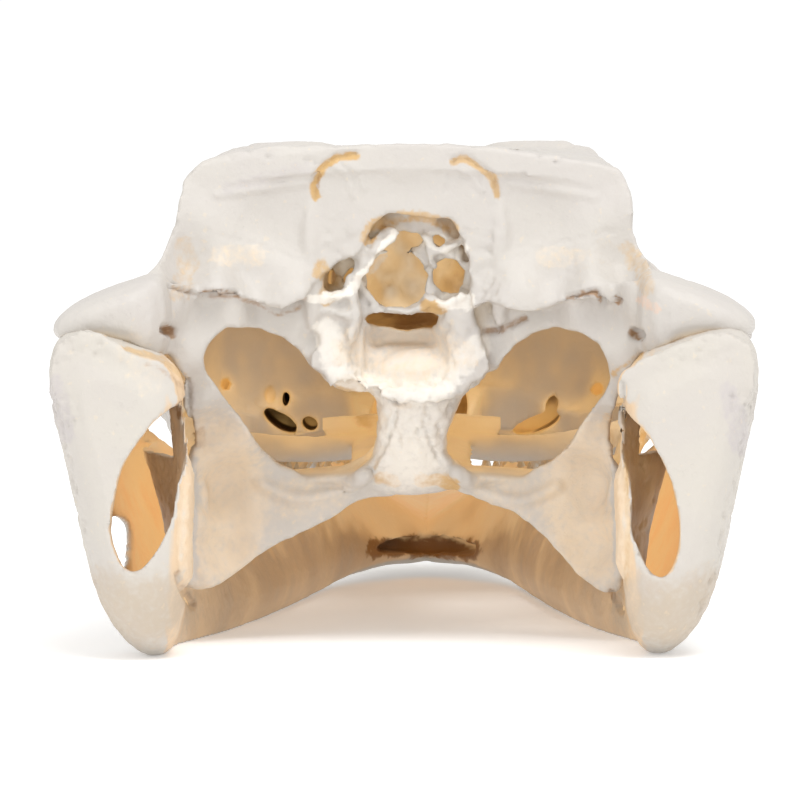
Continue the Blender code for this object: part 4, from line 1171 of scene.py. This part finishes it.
# Lower jaw, right side, front to back, in millimetres. Each row: y, then (x, z) of the keel, the
# lower flank, the outer flank, the outer edge, the top, the inner edge, the inner flank and the
# inner keel.
jaw = {
    "stations": [
        (109.0, 3.0, 10.0, 6.0, 10.5, 8.5, 12.0, 8.0, 14.0, 6.0, 15.0, 2.5, 14.5, -1.0, 13.0, -1.0, 10.5),
        (104.0, 4.5, 7.5, 10.0, 8.6, 13.8, 11.5, 13.0, 15.0, 10.5, 16.0, 5.0, 14.5, -1.0, 13.0, -1.0, 8.0),
        (92.0, 6.5, 4.4, 13.0, 5.8, 17.6, 10.5, 16.6, 16.0, 14.0, 17.2, 9.5, 15.5, -1.0, 11.0, -1.0, 4.8),
        (79.0, 8.0, 2.8, 14.0, 4.2, 18.2, 10.0, 17.4, 17.0, 15.0, 18.5, 11.5, 17.5, -1.0, 8.5, -1.0, 3.2),
        (71.0, 11.0, 2.2, 16.0, 4.2, 19.2, 10.0, 18.2, 17.5, 16.0, 19.3, 13.2, 18.6, 8.0, 10.5, 3.0, 4.4),
        (55.0, 15.0, 1.2, 20.5, 4.0, 24.2, 10.5, 22.6, 16.0, 20.0, 17.6, 17.2, 17.2, 13.0, 11.0, 12.2, 4.6),
        (38.0, 18.5, 0.3, 24.5, 4.0, 28.2, 11.5, 25.8, 17.4, 23.2, 18.8, 20.4, 18.4, 16.5, 11.5, 15.3, 4.5),
        (10.0, 22.4, 0.0, 28.8, 5.0, 33.0, 13.5, 31.2, 20.2, 28.6, 21.8, 25.6, 21.2, 21.0, 12.0, 19.0, 4.6),
        (-20.0, 26.6, 0.0, 33.0, 6.5, 39.0, 17.0, 38.6, 23.0, 36.6, 25.2, 33.8, 24.4, 27.0, 13.5, 23.4, 5.0),
        (-50.0, 31.8, 0.0, 38.8, 7.5, 45.6, 23.0, 46.9, 30.5, 45.2, 33.4, 41.8, 32.4, 33.4, 17.0, 29.6, 5.4),
        (-75.0, 37.6, 0.0, 45.0, 7.5, 50.6, 26.0, 52.6, 38.5, 50.8, 42.0, 45.2, 40.6, 37.2, 22.0, 36.2, 6.0),
        (-92.0, 39.6, 0.0, 47.2, 7.5, 52.2, 27.0, 55.0, 43.0, 51.5, 49.4, 39.8, 47.4, 35.2, 34.0, 35.2, 6.8),
        (-101.0, 40.0, 1.0, 47.5, 8.5, 52.4, 28.0, 55.5, 45.0, 51.0, 51.4, 37.6, 47.4, 34.0, 38.5, 34.6, 8.0),
        (-106.5, 40.5, 3.6, 47.0, 10.0, 51.4, 28.0, 54.8, 45.0, 50.4, 50.8, 37.6, 46.0, 34.2, 38.5, 34.8, 9.6),
        (-110.0, 41.6, 8.6, 45.8, 13.0, 49.4, 28.0, 52.8, 43.0, 49.4, 48.2, 38.4, 44.0, 35.8, 37.5, 36.2, 12.4),
        (-111.5, 42.6, 14.6, 44.4, 17.0, 46.8, 28.0, 49.4, 40.5, 47.4, 44.2, 40.6, 41.4, 38.6, 36.0, 39.2, 17.0),
    ],
    "jointGap": 0.6,
    "keelWear": 0.45,
    # Openings in millimetres: two levels and an outline in y and z, or in x and y.
    "sideGap": (40.0, 60.0, [
        (-80.0, 15.0), (-77.0, 19.0), (-70.0, 20.5), (-62.0, 18.5), (-68.0, 13.4), (-76.0, 12.2),
    ]),
    "topGap": (31.0, 60.0, [
        (44.5, -86.0), (48.0, -74.0), (44.6, -54.0), (41.0, -46.0), (37.0, -54.0), (34.0, -72.0),
        (33.0, -88.0), (39.0, -92.0),
    ]),
    # The recess behind the chin: where it starts and ends, its middle and its halves.
    "recess": (62.0, 77.0, (0.6, 6.0), (9.4, 1.5)),
    # The hollow of the back half: y, how far it has opened out, and the wall it leaves.
    "hollow": [
        (-118.0, 0, 2.4), (-110.0, 0, 2.4), (-105.0, 0.1, 2.4), (-99.0, 0.45, 2.4), (-93.0, 0.85, 2.4),
        (-86.0, 1, 2.4), (-74.0, 1, 2.4), (-60.0, 1, 2.5), (-46.0, 1, 2.6), (-32.0, 1, 2.8),
        (-18.0, 1, 3.1), (-4.0, 1, 3.8), (8.0, 1, 5.5),
    ],
    "rimDepth": -110.6,
    "rimThickness": 3.4,
    "mouthPlace": -109.5,
    "hollowEnd": -108.0,
    # Rim behind the joint, as (x, z) in millimetres.
    "rimLeft": [
        (-54.6, 43.0), (-54.4, 48.0), (-52.4, 50.6), (-49.6, 51.5), (-46.5, 51.0), (-42.8, 48.5),
        (-39.4, 47.4), (-37.0, 46.6), (-35.8, 44.6), (-35.1, 42.2), (-34.7, 40.4), (-36.0, 39.9),
        (-38.4, 39.6), (-40.2, 37.8), (-41.6, 35.4), (-44.5, 37.5), (-49.0, 39.0), (-53.0, 39.0),
    ],
    "rimRight": [
        (54.6, 43.0), (54.2, 48.0), (52.0, 50.2), (49.4, 50.9), (46.0, 50.4), (42.2, 48.8),
        (38.4, 47.4), (35.2, 45.6), (33.6, 43.8), (33.4, 41.6), (34.6, 40.2), (37.0, 40.0),
        (39.0, 38.6), (40.8, 35.8), (44.0, 37.5), (49.0, 39.0), (53.0, 39.0),
    ],
    # The rear opening of each side in pixels of the photograph, from its lowest point up the outer edge.
    "ringLeft": [
        (132, 571), (122, 565), (114, 547), (110, 531), (112, 515), (114, 501), (118, 482), (124, 463),
        (136, 444), (149, 426), (168, 409), (190, 404), (206, 430), (190, 456), (177, 484), (175, 501),
        (173, 515), (166, 533), (156, 551), (149, 561), (141, 569),
    ],
    "ringRight": [
        (663, 577), (673, 566), (678, 549), (680, 531), (679, 515), (677, 503), (674, 490), (668, 472),
        (660, 456), (652, 441), (643, 427), (622, 412), (606, 430), (618, 452), (630, 478), (632, 500),
        (631, 517), (632, 535), (639, 547), (642, 559), (651, 572),
    ],
}


jawRows = smoothLine(jaw["stations"], 6)[::-1]


def jawAt(y, column):
    return float(np.interp(y, jawRows[:, 0], jawRows[:, column]))


def jawRing(row, inset=0.0):
    y, loop = row[0], np.array(row[1:], float).reshape(8, 2)
    middle = loop.mean(0)
    reach = loop - middle
    length = np.linalg.norm(reach, axis=1)[:, None]
    loop = middle + reach * np.maximum(0.15, (length - inset) / length)
    return np.insert(smoothLine(loop, mesh["ringSteps"], closed=True), 1, y, axis=1)


# The hollow of one side: the opening at the rear end, blended into the space inside the walls.
def fossa(side):
    ring = jaw["ringLeft"] if side < 0 else jaw["ringRight"]
    count = 8 * mesh["ringSteps"]
    opening = evenLoop([(abs(x), z) for x, z in fromPhoto(ring, jaw["mouthPlace"])], count)
    rings = []
    for y, share, inset in smoothLine(jaw["hollow"], 4):
        place = max(y, jaw["hollowEnd"])
        inner = jawRing([y] + [jawAt(place, k) for k in range(1, 17)], inset)[:, (0, 2)]
        inner = evenLoop(inner, count)
        loop = opening * (1 - share) + inner * share
        rings.append(np.insert(loop * np.array((side, 1)), 1, y, axis=1))
    return loft("fossa", rings)


def ramus(side):
    rows = smoothLine(jaw["stations"], mesh["stationSteps"])
    rings = [jawRing(row) for row in rows]
    bone = loft("ramus", [ring * np.array((side, 1, 1)) for ring in rings])
    seat = quadrate(jaw["jointGap"])
    seat.data.transform(Matrix.Scale(side, 4, (1, 0, 0)))
    if side < 0:
        seat.data.flip_normals()
    low, high, gap = jaw["sideGap"]
    gap = smoothLine(gap, 5, closed=True)
    cutters = [fossa(side), prism("sideGap", gap, 0, side * low, side * high), seat]
    low, high, gap = jaw["topGap"]
    gap = smoothLine(gap, 5, closed=True) * np.array((side, 1))
    cutters.append(prism("topGap", gap, 2, low, high))
    low, high, middle, halves = jaw["recess"]
    cutters.append(prism("recess", ragged(ellipse(middle, halves), 0.4, 0.7, 6.0), 1, low, high))
    return cut(bone, cutters)


# Pores inside the rear opening and on the inner wall.
def mandibleCrumbly(points):
    x, y, z = points.T
    inside = 0.28 * ramp(-y, *zones["hollowRear"]) * ramp(y, *zones["hollowMouth"])
    inside *= ramp(z, *zones["hollowTop"])
    worn = ramp(np.abs(x), *zones["wornAcross"]) * ramp(-y, *zones["wornRear"])
    worn *= ramp(np.abs(z - zones["wornMiddle"]), *zones["wornHalf"])
    joint = 0.7 * ramp(-y, *zones["jointRear"]) * ramp(z, *zones["jointLevel"])
    return np.maximum(np.maximum(inside, worn), joint)


# Pitted sculpture on the outer side of the jaw's back half and of its front end.
def mandiblePitted(points, normals):
    x, y, z = points.T
    outer = ramp(normals[:, 0] * np.sign(x), *zones["jawTurn"]) * ramp(-normals[:, 1], *zones["jawRearTurn"])
    return outer * (0.3 + 0.6 * ramp(-y, *zones["jawRear"])) * ramp(z, *zones["jawLevel"])


# The rim behind the jaw joint on one side, with its hooked inner tip.
def jointRim(side):
    outline = jaw["rimLeft"] if side < 0 else jaw["rimRight"]
    outline = ragged(smoothLine(outline, 4, closed=True), 0.15, 0.7, 4.0 + side)

    def depth(x, z):
        return jaw["rimDepth"] + 0.006 * (abs(x) - 46.0) ** 2 + 0.01 * (z - 46.0) ** 2

    return relief("jointRim", outline, depth, jaw["rimThickness"], spacing=0.9)


def makeMandible():
    parts = [ramus(-1), ramus(1), jointRim(-1), jointRim(1)] + socketRims("lower")
    whole = largestPiece(soften(fuse("mandibleBone", parts), 2))
    return thinOut(sculpt(whole, mandibleCrumbly, mandiblePitted), mesh["mandibleTriangles"])


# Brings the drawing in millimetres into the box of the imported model, in metres.
def toFrame(things):
    everything = np.vstack([readPoints(thing) for thing in things])
    low, high = everything.min(0), everything.max(0)
    floor = low[2] + jaw["keelWear"]
    target = np.array(cadBox)
    for thing in things:
        points = readPoints(thing)
        points[:, 2] = np.maximum(points[:, 2], floor)
        lowest = np.array((low[0], low[1], floor))
        points = (points - lowest) / (high - lowest) * (target[1] - target[0]) + target[0]
        writePoints(thing, points)


print("building the skull")
cranium = makeCranium()
print("building the lower jaw")
mandible = makeMandible()
upperTeeth = toothRow("upperTeeth", "upper")
lowerTeeth = toothRow("lowerTeeth", "lower")
toFrame([cranium, mandible, upperTeeth, lowerTeeth])
for thing in (cranium, mandible, upperTeeth, lowerTeeth):
    thing.data.shade_smooth()
    print(thing.name, len(thing.data.polygons), "faces")


# Colours are shares of light, not of the screen.
look = {
    "bone": (0.575, 0.542, 0.500),
    "jawBone": (0.572, 0.535, 0.480),
    # Where the bone is closed in: the inner tans are partly the bone's own stain and partly painted shade; the
    # skull's deep colour is dark brown painted shade in the deepest holes, the jaw's a light tan.
    "inner": (0.88, 0.69, 0.42),
    "jawInner": (0.76, 0.51, 0.27),
    "deep": (0.30, 0.165, 0.07),
    "jawDeep": (0.78, 0.64, 0.43),
    # Painted light: the bone glows in its hollows in place of light bounced inside them.
    "skullPaintedGlow": (0.205, 0.130, 0.044),
    "jawPaintedGlow": (0.250, 0.185, 0.095),
    # Tan of the painted shade on the jaw's low part, also a darker tone in a few patches.
    "tan": (0.50, 0.415, 0.32),
    "white": (0.84, 0.80, 0.73),
    "ochre": (0.60, 0.38, 0.15),
    # Dark brown of the painted shade in holes, slits and slots.
    "brown": (0.33, 0.17, 0.06),
    "grey": (0.50, 0.46, 0.46),
    "pink": (0.76, 0.52, 0.38),
    "cream": (0.80, 0.66, 0.49),
    "enamel": (0.80, 0.74, 0.62),
    "roughness": 0.55,
    "enamelRoughness": 0.3,
    "specular": 0.35,
    "relief": 0.0004,          # metres
    "reliefStrength": 0.6,
    # Noises: scale and detail.
    "cloud": (90.0, 4.0),
    "fine": (900.0, 3.0),
    "grain": (700.0, 3.0),
    "patch": (140.0, 1.0),
    "pores": 620.0,
    # How closed in a point is where each colour starts and is full, and how much that varies.
    # They place the painted shade and the painted glow of the hollows.
    "innerFrom": (0.38, 0.84),
    "deepFrom": (0.92, 1.04),
    "paintedGlowFrom": (0.6, 0.88),
    "fadeFrom": (0.9, 1.0),
    "unevenness": 0.35,
    "paintGrain": 0.9,
    "paintFrom": (0.15, 0.85),
    # Specks and clouds: the noise where they start and are full, and their least and most strength.
    "specks": (0.63, 0.72, 0.0, 0.16),
    "clouds": (0.35, 0.7, 0.0, 0.2),
    "porePatches": (0.5, 0.68, 0.0, 0.3),
}


# How closed in each point is: the share of rays from it that meet bone close by, which places the painted shade
# and the painted glow of the hollows. Also tells which points the photograph shows.
enclosure = {
    "seed": 4,
    "lean": 1.02,            # how far the rays lean toward the normal
    "rounds": 14,            # of smoothing
    "rearEase": 0.3,         # less of it at the rear, where light comes in
    "rearFrom": (70.0, 77.0),
    "jawInside": 0.66,       # least value on the inner walls of the jaw
    "jawTurn": (0.15, 0.7),
}


def closedIn(things):
    shown = {}
    joined = bmesh.new()
    for thing in things:
        joined.from_mesh(thing.data)
    tree = BVHTree.FromBMesh(joined)
    joined.free()
    reach, start = mesh["rayReach"] * mm, mesh["rayStart"] * mm
    for thing in things:
        points, normals = readPoints(thing), readNormals(thing)
        starts = points + normals * start
        rng = np.random.default_rng(enclosure["seed"])
        total = np.zeros(len(points))
        for _ in range(mesh["rayCount"]):
            ways = rng.normal(size=points.shape)
            ways /= np.linalg.norm(ways, axis=1)[:, None]
            ways += normals * enclosure["lean"]
            for k, (point, way) in enumerate(zip(starts, ways)):
                if tree.ray_cast(Vector(point), Vector(way), reach)[0] is not None:
                    total[k] += 1
        share = spread(thing, total / mesh["rayCount"], enclosure["rounds"])
        way = Vector(mesh["ways"][0][0]).normalized()
        free = [tree.ray_cast(Vector(spot), way)[0] is None for spot in starts]
        shown[thing.name] = spread(thing, np.array(free, float), 1)
        share *= 1 - enclosure["rearEase"] * ramp(-points[:, 1] / mm, *enclosure["rearFrom"])
        # Painted shade: the jaw's inner walls count as closed in at least this much.
        if thing is mandible:
            inward = -normals[:, 0] * np.sign(points[:, 0])
            share = np.maximum(share, enclosure["jawInside"] * ramp(inward, *enclosure["jawTurn"]))
        store(thing, "enclosed", share)
    return shown


def store(thing, name, values):
    layer = thing.data.attributes.get(name) or thing.data.attributes.new(name, "FLOAT", "POINT")
    layer.data.foreach_set("value", np.asarray(values, np.float32))


# Adds paint of one kind along lines and in patches, for points between two depths.
def paint(thing, name, shown, strokes, near, far):
    points = readPoints(thing)
    pixels = toPhoto(points)
    wobble = lumps(points / mm, 2.2, 0.0) * 5 + lumps(points / mm, 0.7, 5.0) * 2.5
    level = np.zeros(len(points))
    reachable = (points[:, 1] / mm > near) & (points[:, 1] / mm < far)
    for spots, half, strength in strokes:
        gap = lineDistance(pixels, spots) + wobble * min(1.0, half / 8)
        soft = max(2.5, half * (0.45 if half < 20 else 0.9))
        level = np.maximum(level, strength * ramp(gap, half + soft, half - soft * 0.5))
    store(thing, name, level * reachable * shown)


# Paint on the bone, both stains and painted shade: for each kind the depths it lies between and its lines, in
# pixels of the photograph, each with its half width and strength.
paints = {
    "ochre": (-130.0, -25.0, [
        (lines["arcLeft"], 4.0, 0.95),
        (lines["arcRight"], 3.5, 0.9),
        ([(366, 240), (376, 224), (400, 217), (430, 218), (452, 228)], 6.0, 0.75),
        ([(182, 245), (188, 268), (180, 292)], 10.0, 0.45),
        ([(628, 250), (640, 270), (646, 286)], 9.0, 0.5),
        ([(427, 306), (442, 308)], 6.0, 0.9),
        ([(336, 345), (340, 361)], 6.0, 0.85),
        ([(468, 346), (473, 361)], 6.0, 0.75),
        ([(393, 404), (411, 406)], 3.5, 0.8),
        ([(383, 448), (375, 468)], 2.5, 0.8),
        ([(379, 478), (394, 481)], 6.0, 0.85),
        ([(421, 480), (437, 478), (453, 485)], 6.5, 0.9),
        # Painted shade along the gap of the left jaw joint.
        ([(126, 349), (147, 355), (161, 359), (187, 379)], 3.0, 0.7),
        ([(640, 355), (628, 364), (615, 373)], 3.0, 0.8),
        ([(611, 424), (625, 440), (638, 456)], 11.0, 0.6),
        ([(348, 386), (362, 400), (371, 418)], 13.0, 0.8),
        ([(626, 452), (628, 520), (626, 588)], 2.2, 0.8),
        ([(320, 268), (334, 280), (326, 296)], 9.0, 0.7),
    ]),
    "white": (-130.0, -60.0, [
        ([(405, 388), (410, 420), (408, 452)], 36.0, 0.8),
        ([(325, 330), (338, 372), (378, 388), (440, 388), (478, 345)], 12.0, 0.8),
        ([(312, 300), (348, 292), (380, 256), (394, 234)], 5.0, 0.9),
        ([(428, 240), (460, 250)], 8.0, 0.7),
        ([(445, 302), (467, 300)], 8.0, 0.8),
        ([(345, 172), (355, 182), (352, 200)], 8.0, 0.2),
        ([(462, 172), (472, 182), (478, 196)], 8.0, 0.2),
    ]),
    # Painted shade: dark brown, mostly in the holes, slits and slots, in the recess behind the chin and along
    # the gap of the left jaw joint.
    "brown": (-130.0, 90.0, [
        ([(374, 548), (400, 547), (440, 547), (471, 551)], 9.0, 1.0),
        ([(206, 294), (222, 294), (237, 295)], 3.4, 0.9),
        ([(170, 287), (201, 296)], 1.8, 0.5),
        ([(240, 299), (255, 303), (277, 315), (297, 309), (306, 299)], 1.8, 0.6),
        ([(568, 298), (582, 294), (596, 292), (603, 303)], 2.6, 0.9),
        (lines["slotRight"], 3.0, 0.7),
        (lines["holeRight"], 3.5, 0.9),
        (lines["nerveLeft"], 5.0, 0.9),
        (lines["nerveRight"], 5.0, 0.9),
        ([(319, 176), (318, 188)], 2.4, 0.7),
        ([(177, 573), (184, 590), (194, 604)], 3.0, 0.9),
        ([(611, 591), (622, 609)], 3.0, 0.9),
        ([(180, 408), (182, 412)], 6.0, 0.8),
        ([(200, 434), (201, 442)], 7.0, 0.8),
        ([(146, 364), (160, 368), (184, 388)], 2.0, 0.5),
    ]),
    "grey": (-130.0, -62.0, [
        ([(229, 189), (260, 179), (304, 168)], 7.0, 0.45),
        ([(56, 385), (60, 410), (66, 435)], 9.0, 0.6),
        ([(728, 392), (735, 415), (742, 446)], 11.0, 0.6),
        ([(190, 384), (193, 410), (192, 438)], 6.0, 0.4),
    ]),
    "pink": (-130.0, -60.0, [
        ([(215, 482), (217, 515)], 12.0, 0.4),
        ([(597, 500), (599, 532)], 12.0, 0.45),
        ([(641, 301), (656, 309)], 5.0, 0.6),
        ([(372, 350), (405, 356), (432, 350)], 22.0, 0.35),
    ]),
    # Painted shade on the low rear part of each jaw half; the other strokes add a darker tone.
    "tan": (-130.0, -60.0, [
        ([(100, 600), (135, 618), (165, 605)], 30.0, 0.75),
        ([(710, 600), (675, 618), (640, 605)], 30.0, 0.75),
        ([(190, 470), (186, 520), (190, 570)], 8.0, 0.3),
        ([(250, 262), (215, 258), (190, 250)], 12.0, 0.3),
        ([(545, 262), (585, 258), (612, 250)], 12.0, 0.3),
    ]),
    "cream": (-130.0, -60.0, [
        ([(193, 455), (186, 483), (183, 516), (182, 557), (186, 582), (206, 587)], 5.0, 0.6),
        ([(612, 450), (620, 475), (625, 508), (625, 541), (623, 574)], 5.0, 0.6),
        ([(220, 255), (256, 255)], 10.0, 0.5),
        ([(545, 256), (576, 257)], 10.0, 0.45),
        ([(222, 450), (235, 500), (222, 550)], 34.0, 0.75),
        ([(585, 450), (572, 500), (590, 550)], 34.0, 0.75),
        ([(285, 500), (330, 495)], 20.0, 0.5),
        ([(530, 500), (490, 492)], 18.0, 0.5),
        ([(130, 350), (150, 380)], 16.0, 0.35),
        ([(370, 352), (405, 362), (436, 352)], 26.0, 0.6),
    ]),
}


def group(name, inputs, outputs):
    tree = bpy.data.node_groups.new(name, "ShaderNodeTree")
    for label, kind in inputs:
        tree.interface.new_socket(label, in_out="INPUT", socket_type=kind)
    for label, kind in outputs:
        tree.interface.new_socket(label, in_out="OUTPUT", socket_type=kind)
    return tree, tree.nodes.new("NodeGroupInput"), tree.nodes.new("NodeGroupOutput")


def node(tree, kind, links=(), **values):
    made = tree.nodes.new(kind)
    for key, value in values.items():
        if key == "inputs":
            for slot, amount in value.items():
                made.inputs[slot].default_value = amount
        else:
            setattr(made, key, value)
    for source, slot in links:
        tree.links.new(source, made.inputs[slot])
    return made


def attribute(tree, name):
    return node(tree, "ShaderNodeAttribute", attribute_name=name).outputs["Fac"]


def blend(tree, fac, first, second):
    made = node(tree, "ShaderNodeMix", data_type="RGBA")
    tree.links.new(fac, made.inputs[0])
    for source, slot in ((first, 6), (second, 7)):
        if isinstance(source, tuple):
            made.inputs[slot].default_value = (*source, 1)
        else:
            tree.links.new(source, made.inputs[slot])
    return made.outputs[2]


def remap(tree, source, low, high, first=0.0, second=1.0):
    made = node(tree, "ShaderNodeMapRange", [(source, 0)], interpolation_type="SMOOTHSTEP")
    for slot, value in zip((1, 2, 3, 4), (low, high, first, second)):
        made.inputs[slot].default_value = value
    return made.outputs[0]


def calc(tree, operation, first, second):
    made = node(tree, "ShaderNodeMath", operation=operation)
    for k, value in enumerate((first, second)):
        if isinstance(value, (int, float)):
            made.inputs[k].default_value = value
        else:
            tree.links.new(value, made.inputs[k])
    return made.outputs[0]


def noiseOf(tree, place, name):
    scale, detail = look[name]
    inputs = {"Scale": scale, "Detail": detail}
    return node(tree, "ShaderNodeTexNoise", [(place, 0)], inputs=inputs).outputs[0]


# Colour of dry bone: pale outside; tan where closed in, partly the bone's own stain and partly painted shade;
# painted shade in the deepest holes; with stains, specks and fine streaks. Its glow is painted light in the
# hollows.
def boneColourGroup():
    kinds = [("OpenBone", "NodeSocketColor"), ("Inner", "NodeSocketColor"), ("Deep", "NodeSocketColor"),
             ("PaintedLight", "NodeSocketColor"), ("Fade", "NodeSocketFloat")]
    results = [("Colour", "NodeSocketColor"), ("Glow", "NodeSocketColor")]
    tree, given, made = group("boneColour", kinds, results)
    place = node(tree, "ShaderNodeTexCoord").outputs["Object"]
    cloud, fine = noiseOf(tree, place, "cloud"), noiseOf(tree, place, "fine")
    enclosed = attribute(tree, "enclosed")
    uneven = calc(tree, "MULTIPLY", calc(tree, "SUBTRACT", cloud, 0.5), look["unevenness"])
    closed = calc(tree, "ADD", enclosed, uneven)
    colour = blend(tree, remap(tree, closed, *look["innerFrom"]), given.outputs[0], given.outputs[1])
    colour = blend(tree, remap(tree, closed, *look["deepFrom"]), colour, given.outputs[2])
    # The painted glow fades in the deepest holes and under the brown painted shade.
    dark = calc(tree, "MULTIPLY", remap(tree, closed, *look["fadeFrom"]), given.outputs[4])
    dark = calc(tree, "MAXIMUM", dark, attribute(tree, "brown"))
    bright = calc(tree, "SUBTRACT", 1.0, dark)
    paintedGlowShare = calc(tree, "MULTIPLY", remap(tree, closed, *look["paintedGlowFrom"]), bright)
    tree.links.new(blend(tree, paintedGlowShare, (0.0, 0.0, 0.0), given.outputs[3]), made.inputs[1])
    for name in paints:
        strength = attribute(tree, name)
        grain = calc(tree, "MULTIPLY", calc(tree, "SUBTRACT", fine, 0.5), look["paintGrain"])
        edge = remap(tree, calc(tree, "ADD", strength, grain), *look["paintFrom"])
        fac = calc(tree, "MULTIPLY", edge, calc(tree, "POWER", strength, 0.7))
        colour = blend(tree, fac, colour, look[name])
    colour = blend(tree, remap(tree, fine, *look["specks"]), colour, look["inner"])
    colour = blend(tree, remap(tree, cloud, *look["clouds"]), colour, look["grey"])
    tree.links.new(colour, made.inputs[0])
    return tree


# Height of the bone's fine surface: grain, pores and hair cracks.
def boneReliefGroup():
    kinds = [("Grain", "NodeSocketFloat"), ("Pores", "NodeSocketFloat")]
    tree, given, made = group("boneRelief", kinds, [("Height", "NodeSocketFloat")])
    place = node(tree, "ShaderNodeTexCoord").outputs["Object"]
    grain, patch = noiseOf(tree, place, "grain"), noiseOf(tree, place, "patch")
    cells = node(tree, "ShaderNodeTexVoronoi", [(place, 0)], inputs={"Scale": look["pores"]}).outputs[0]
    pore = calc(tree, "GREATER_THAN", cells, remap(tree, patch, *look["porePatches"]))
    height = calc(tree, "ADD", calc(tree, "MULTIPLY", grain, given.outputs[0]),
                  calc(tree, "MULTIPLY", pore, given.outputs[1]))
    tree.links.new(height, made.inputs[0])
    return tree


# Each material is the two groups with its own colours, how much its painted glow fades where it is closed in,
# its grain and its pores, and a roughness.
def boneMaterial(name, colours, fade, groups, roughness, grain, pores):
    material = bpy.data.materials.new(name)
    material.use_nodes = True
    tree = material.node_tree
    shader = tree.nodes["Principled BSDF"]
    colour = node(tree, "ShaderNodeGroup", node_tree=groups[0])
    for slot, value in enumerate(colours):
        colour.inputs[slot].default_value = (*value, 1)
    colour.inputs["Fade"].default_value = fade
    height = node(tree, "ShaderNodeGroup", node_tree=groups[1])
    height.inputs["Grain"].default_value = grain
    height.inputs["Pores"].default_value = pores
    depth = {"Distance": look["relief"], "Strength": look["reliefStrength"]}
    bump = node(tree, "ShaderNodeBump", inputs=depth)
    tree.links.new(height.outputs[0], bump.inputs["Height"])
    tree.links.new(colour.outputs[0], shader.inputs["Base Color"])
    # Painted light: the hollows glow by emission in place of light bounced inside them.
    tree.links.new(colour.outputs[1], shader.inputs["Emission Color"])
    shader.inputs["Emission Strength"].default_value = 1.0
    tree.links.new(bump.outputs[0], shader.inputs["Normal"])
    shader.inputs["Roughness"].default_value = roughness
    shader.inputs["Specular IOR Level"].default_value = look["specular"]
    return material


print("painting")
bones = [cranium, mandible]
shown = closedIn(bones)
for thing in (upperTeeth, lowerTeeth):
    for name in ("enclosed", *paints):
        store(thing, name, np.zeros(len(thing.data.vertices)))

for name, (near, far, strokes) in paints.items():
    for thing in bones:
        paint(thing, name, shown[thing.name], strokes, near, far)

print("materials")
groups = (boneColourGroup(), boneReliefGroup())
skullColours = [look[name] for name in ("bone", "inner", "deep", "skullPaintedGlow")]
jawColours = [look[name] for name in ("jawBone", "jawInner", "jawDeep", "jawPaintedGlow")]
toothColours = [look[name] for name in ("enamel", "inner", "deep")] + [(0.0, 0.0, 0.0)]
skullBone = boneMaterial("skullBone", skullColours, 1.0, groups, look["roughness"], 0.6, 0.4)
jawBone = boneMaterial("jawBone", jawColours, 0.0, groups, look["roughness"], 0.6, 0.4)
enamel = boneMaterial("toothEnamel", toothColours, 1.0, groups, look["enamelRoughness"], 0.15, 0.0)
for thing, material in ((cranium, skullBone), (mandible, jawBone), (upperTeeth, enamel),
                        (lowerTeeth, enamel)):
    thing.data.materials.clear()
    thing.data.materials.append(material)

# Floor, light and camera, in metres.
stage = {
    "floorHalf": 40.0,
    "floor": (0.92, 0.92, 0.92),
    "floorRoughness": 0.9,
    "floorGlow": 0.24,
    "sky": 0.88,
    "sensor": 36.0,          # millimetres
    "clip": (0.01, 200.0),
    # Each light's name, place, aim, size and power in watts.
    "lights": [
        ("softTop", (0.25, -0.6, 1.2), (0.0, -0.06, 0.04), 0.7, 9.0),
        ("softBehind", (-0.6, -1.3, 0.5), (0.0, -0.08, 0.04), 0.6, 2.4),
    ],
}


def makeStage():
    half = stage["floorHalf"]
    corners = [(-half, -half, 0), (half, -half, 0), (half, half, 0), (-half, half, 0)]
    floor = meshObject("floor", corners, [(0, 1, 2, 3)])
    if floor.data.polygons[0].normal.z < 0:
        floor.data.flip_normals()
    paper = bpy.data.materials.new("paper")
    paper.use_nodes = True
    shader = paper.node_tree.nodes["Principled BSDF"]
    shader.inputs["Base Color"].default_value = (*stage["floor"], 1)
    shader.inputs["Emission Color"].default_value = (1, 1, 1, 1)
    shader.inputs["Emission Strength"].default_value = stage["floorGlow"]
    shader.inputs["Roughness"].default_value = stage["floorRoughness"]
    shader.inputs["Specular IOR Level"].default_value = 0.0
    floor.data.materials.append(paper)
    world = bpy.data.worlds.new("studio")
    world.use_nodes = True
    sky = world.node_tree.nodes["Background"]
    sky.inputs["Color"].default_value = (1, 1, 1, 1)
    sky.inputs["Strength"].default_value = stage["sky"]
    bpy.context.scene.world = world
    for name, place, aim, size, power in stage["lights"]:
        light = bpy.data.lights.new(name, "AREA")
        light.size = size
        light.energy = power
        lamp = bpy.data.objects.new(name, light)
        lamp.location = place
        lamp.rotation_euler = (Vector(aim) - Vector(place)).to_track_quat("-Z", "Y").to_euler()
        bpy.context.scene.collection.objects.link(lamp)
    place, turn, focal = photoCamera()
    lens = bpy.data.cameras.new("photoCamera")
    lens.sensor_width = stage["sensor"]
    lens.lens = focal * stage["sensor"] / photo["size"]
    lens.clip_start, lens.clip_end = stage["clip"]
    camera = bpy.data.objects.new("photoCamera", lens)
    camera.location = place
    camera.rotation_euler = turn
    bpy.context.scene.collection.objects.link(camera)
    bpy.context.scene.camera = camera
    bpy.context.scene.view_settings.view_transform = "Standard"


makeStage()
for thing, name, slot in ((cranium, "cranium", "skull_bone"), (upperTeeth, "cranium", "skull_bone"),
                          (mandible, "mandible", "jaw_bone"), (lowerTeeth, "mandible", "jaw_bone")):
    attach(thing, "root")
    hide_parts(name)

bpy.context.view_layer.update()
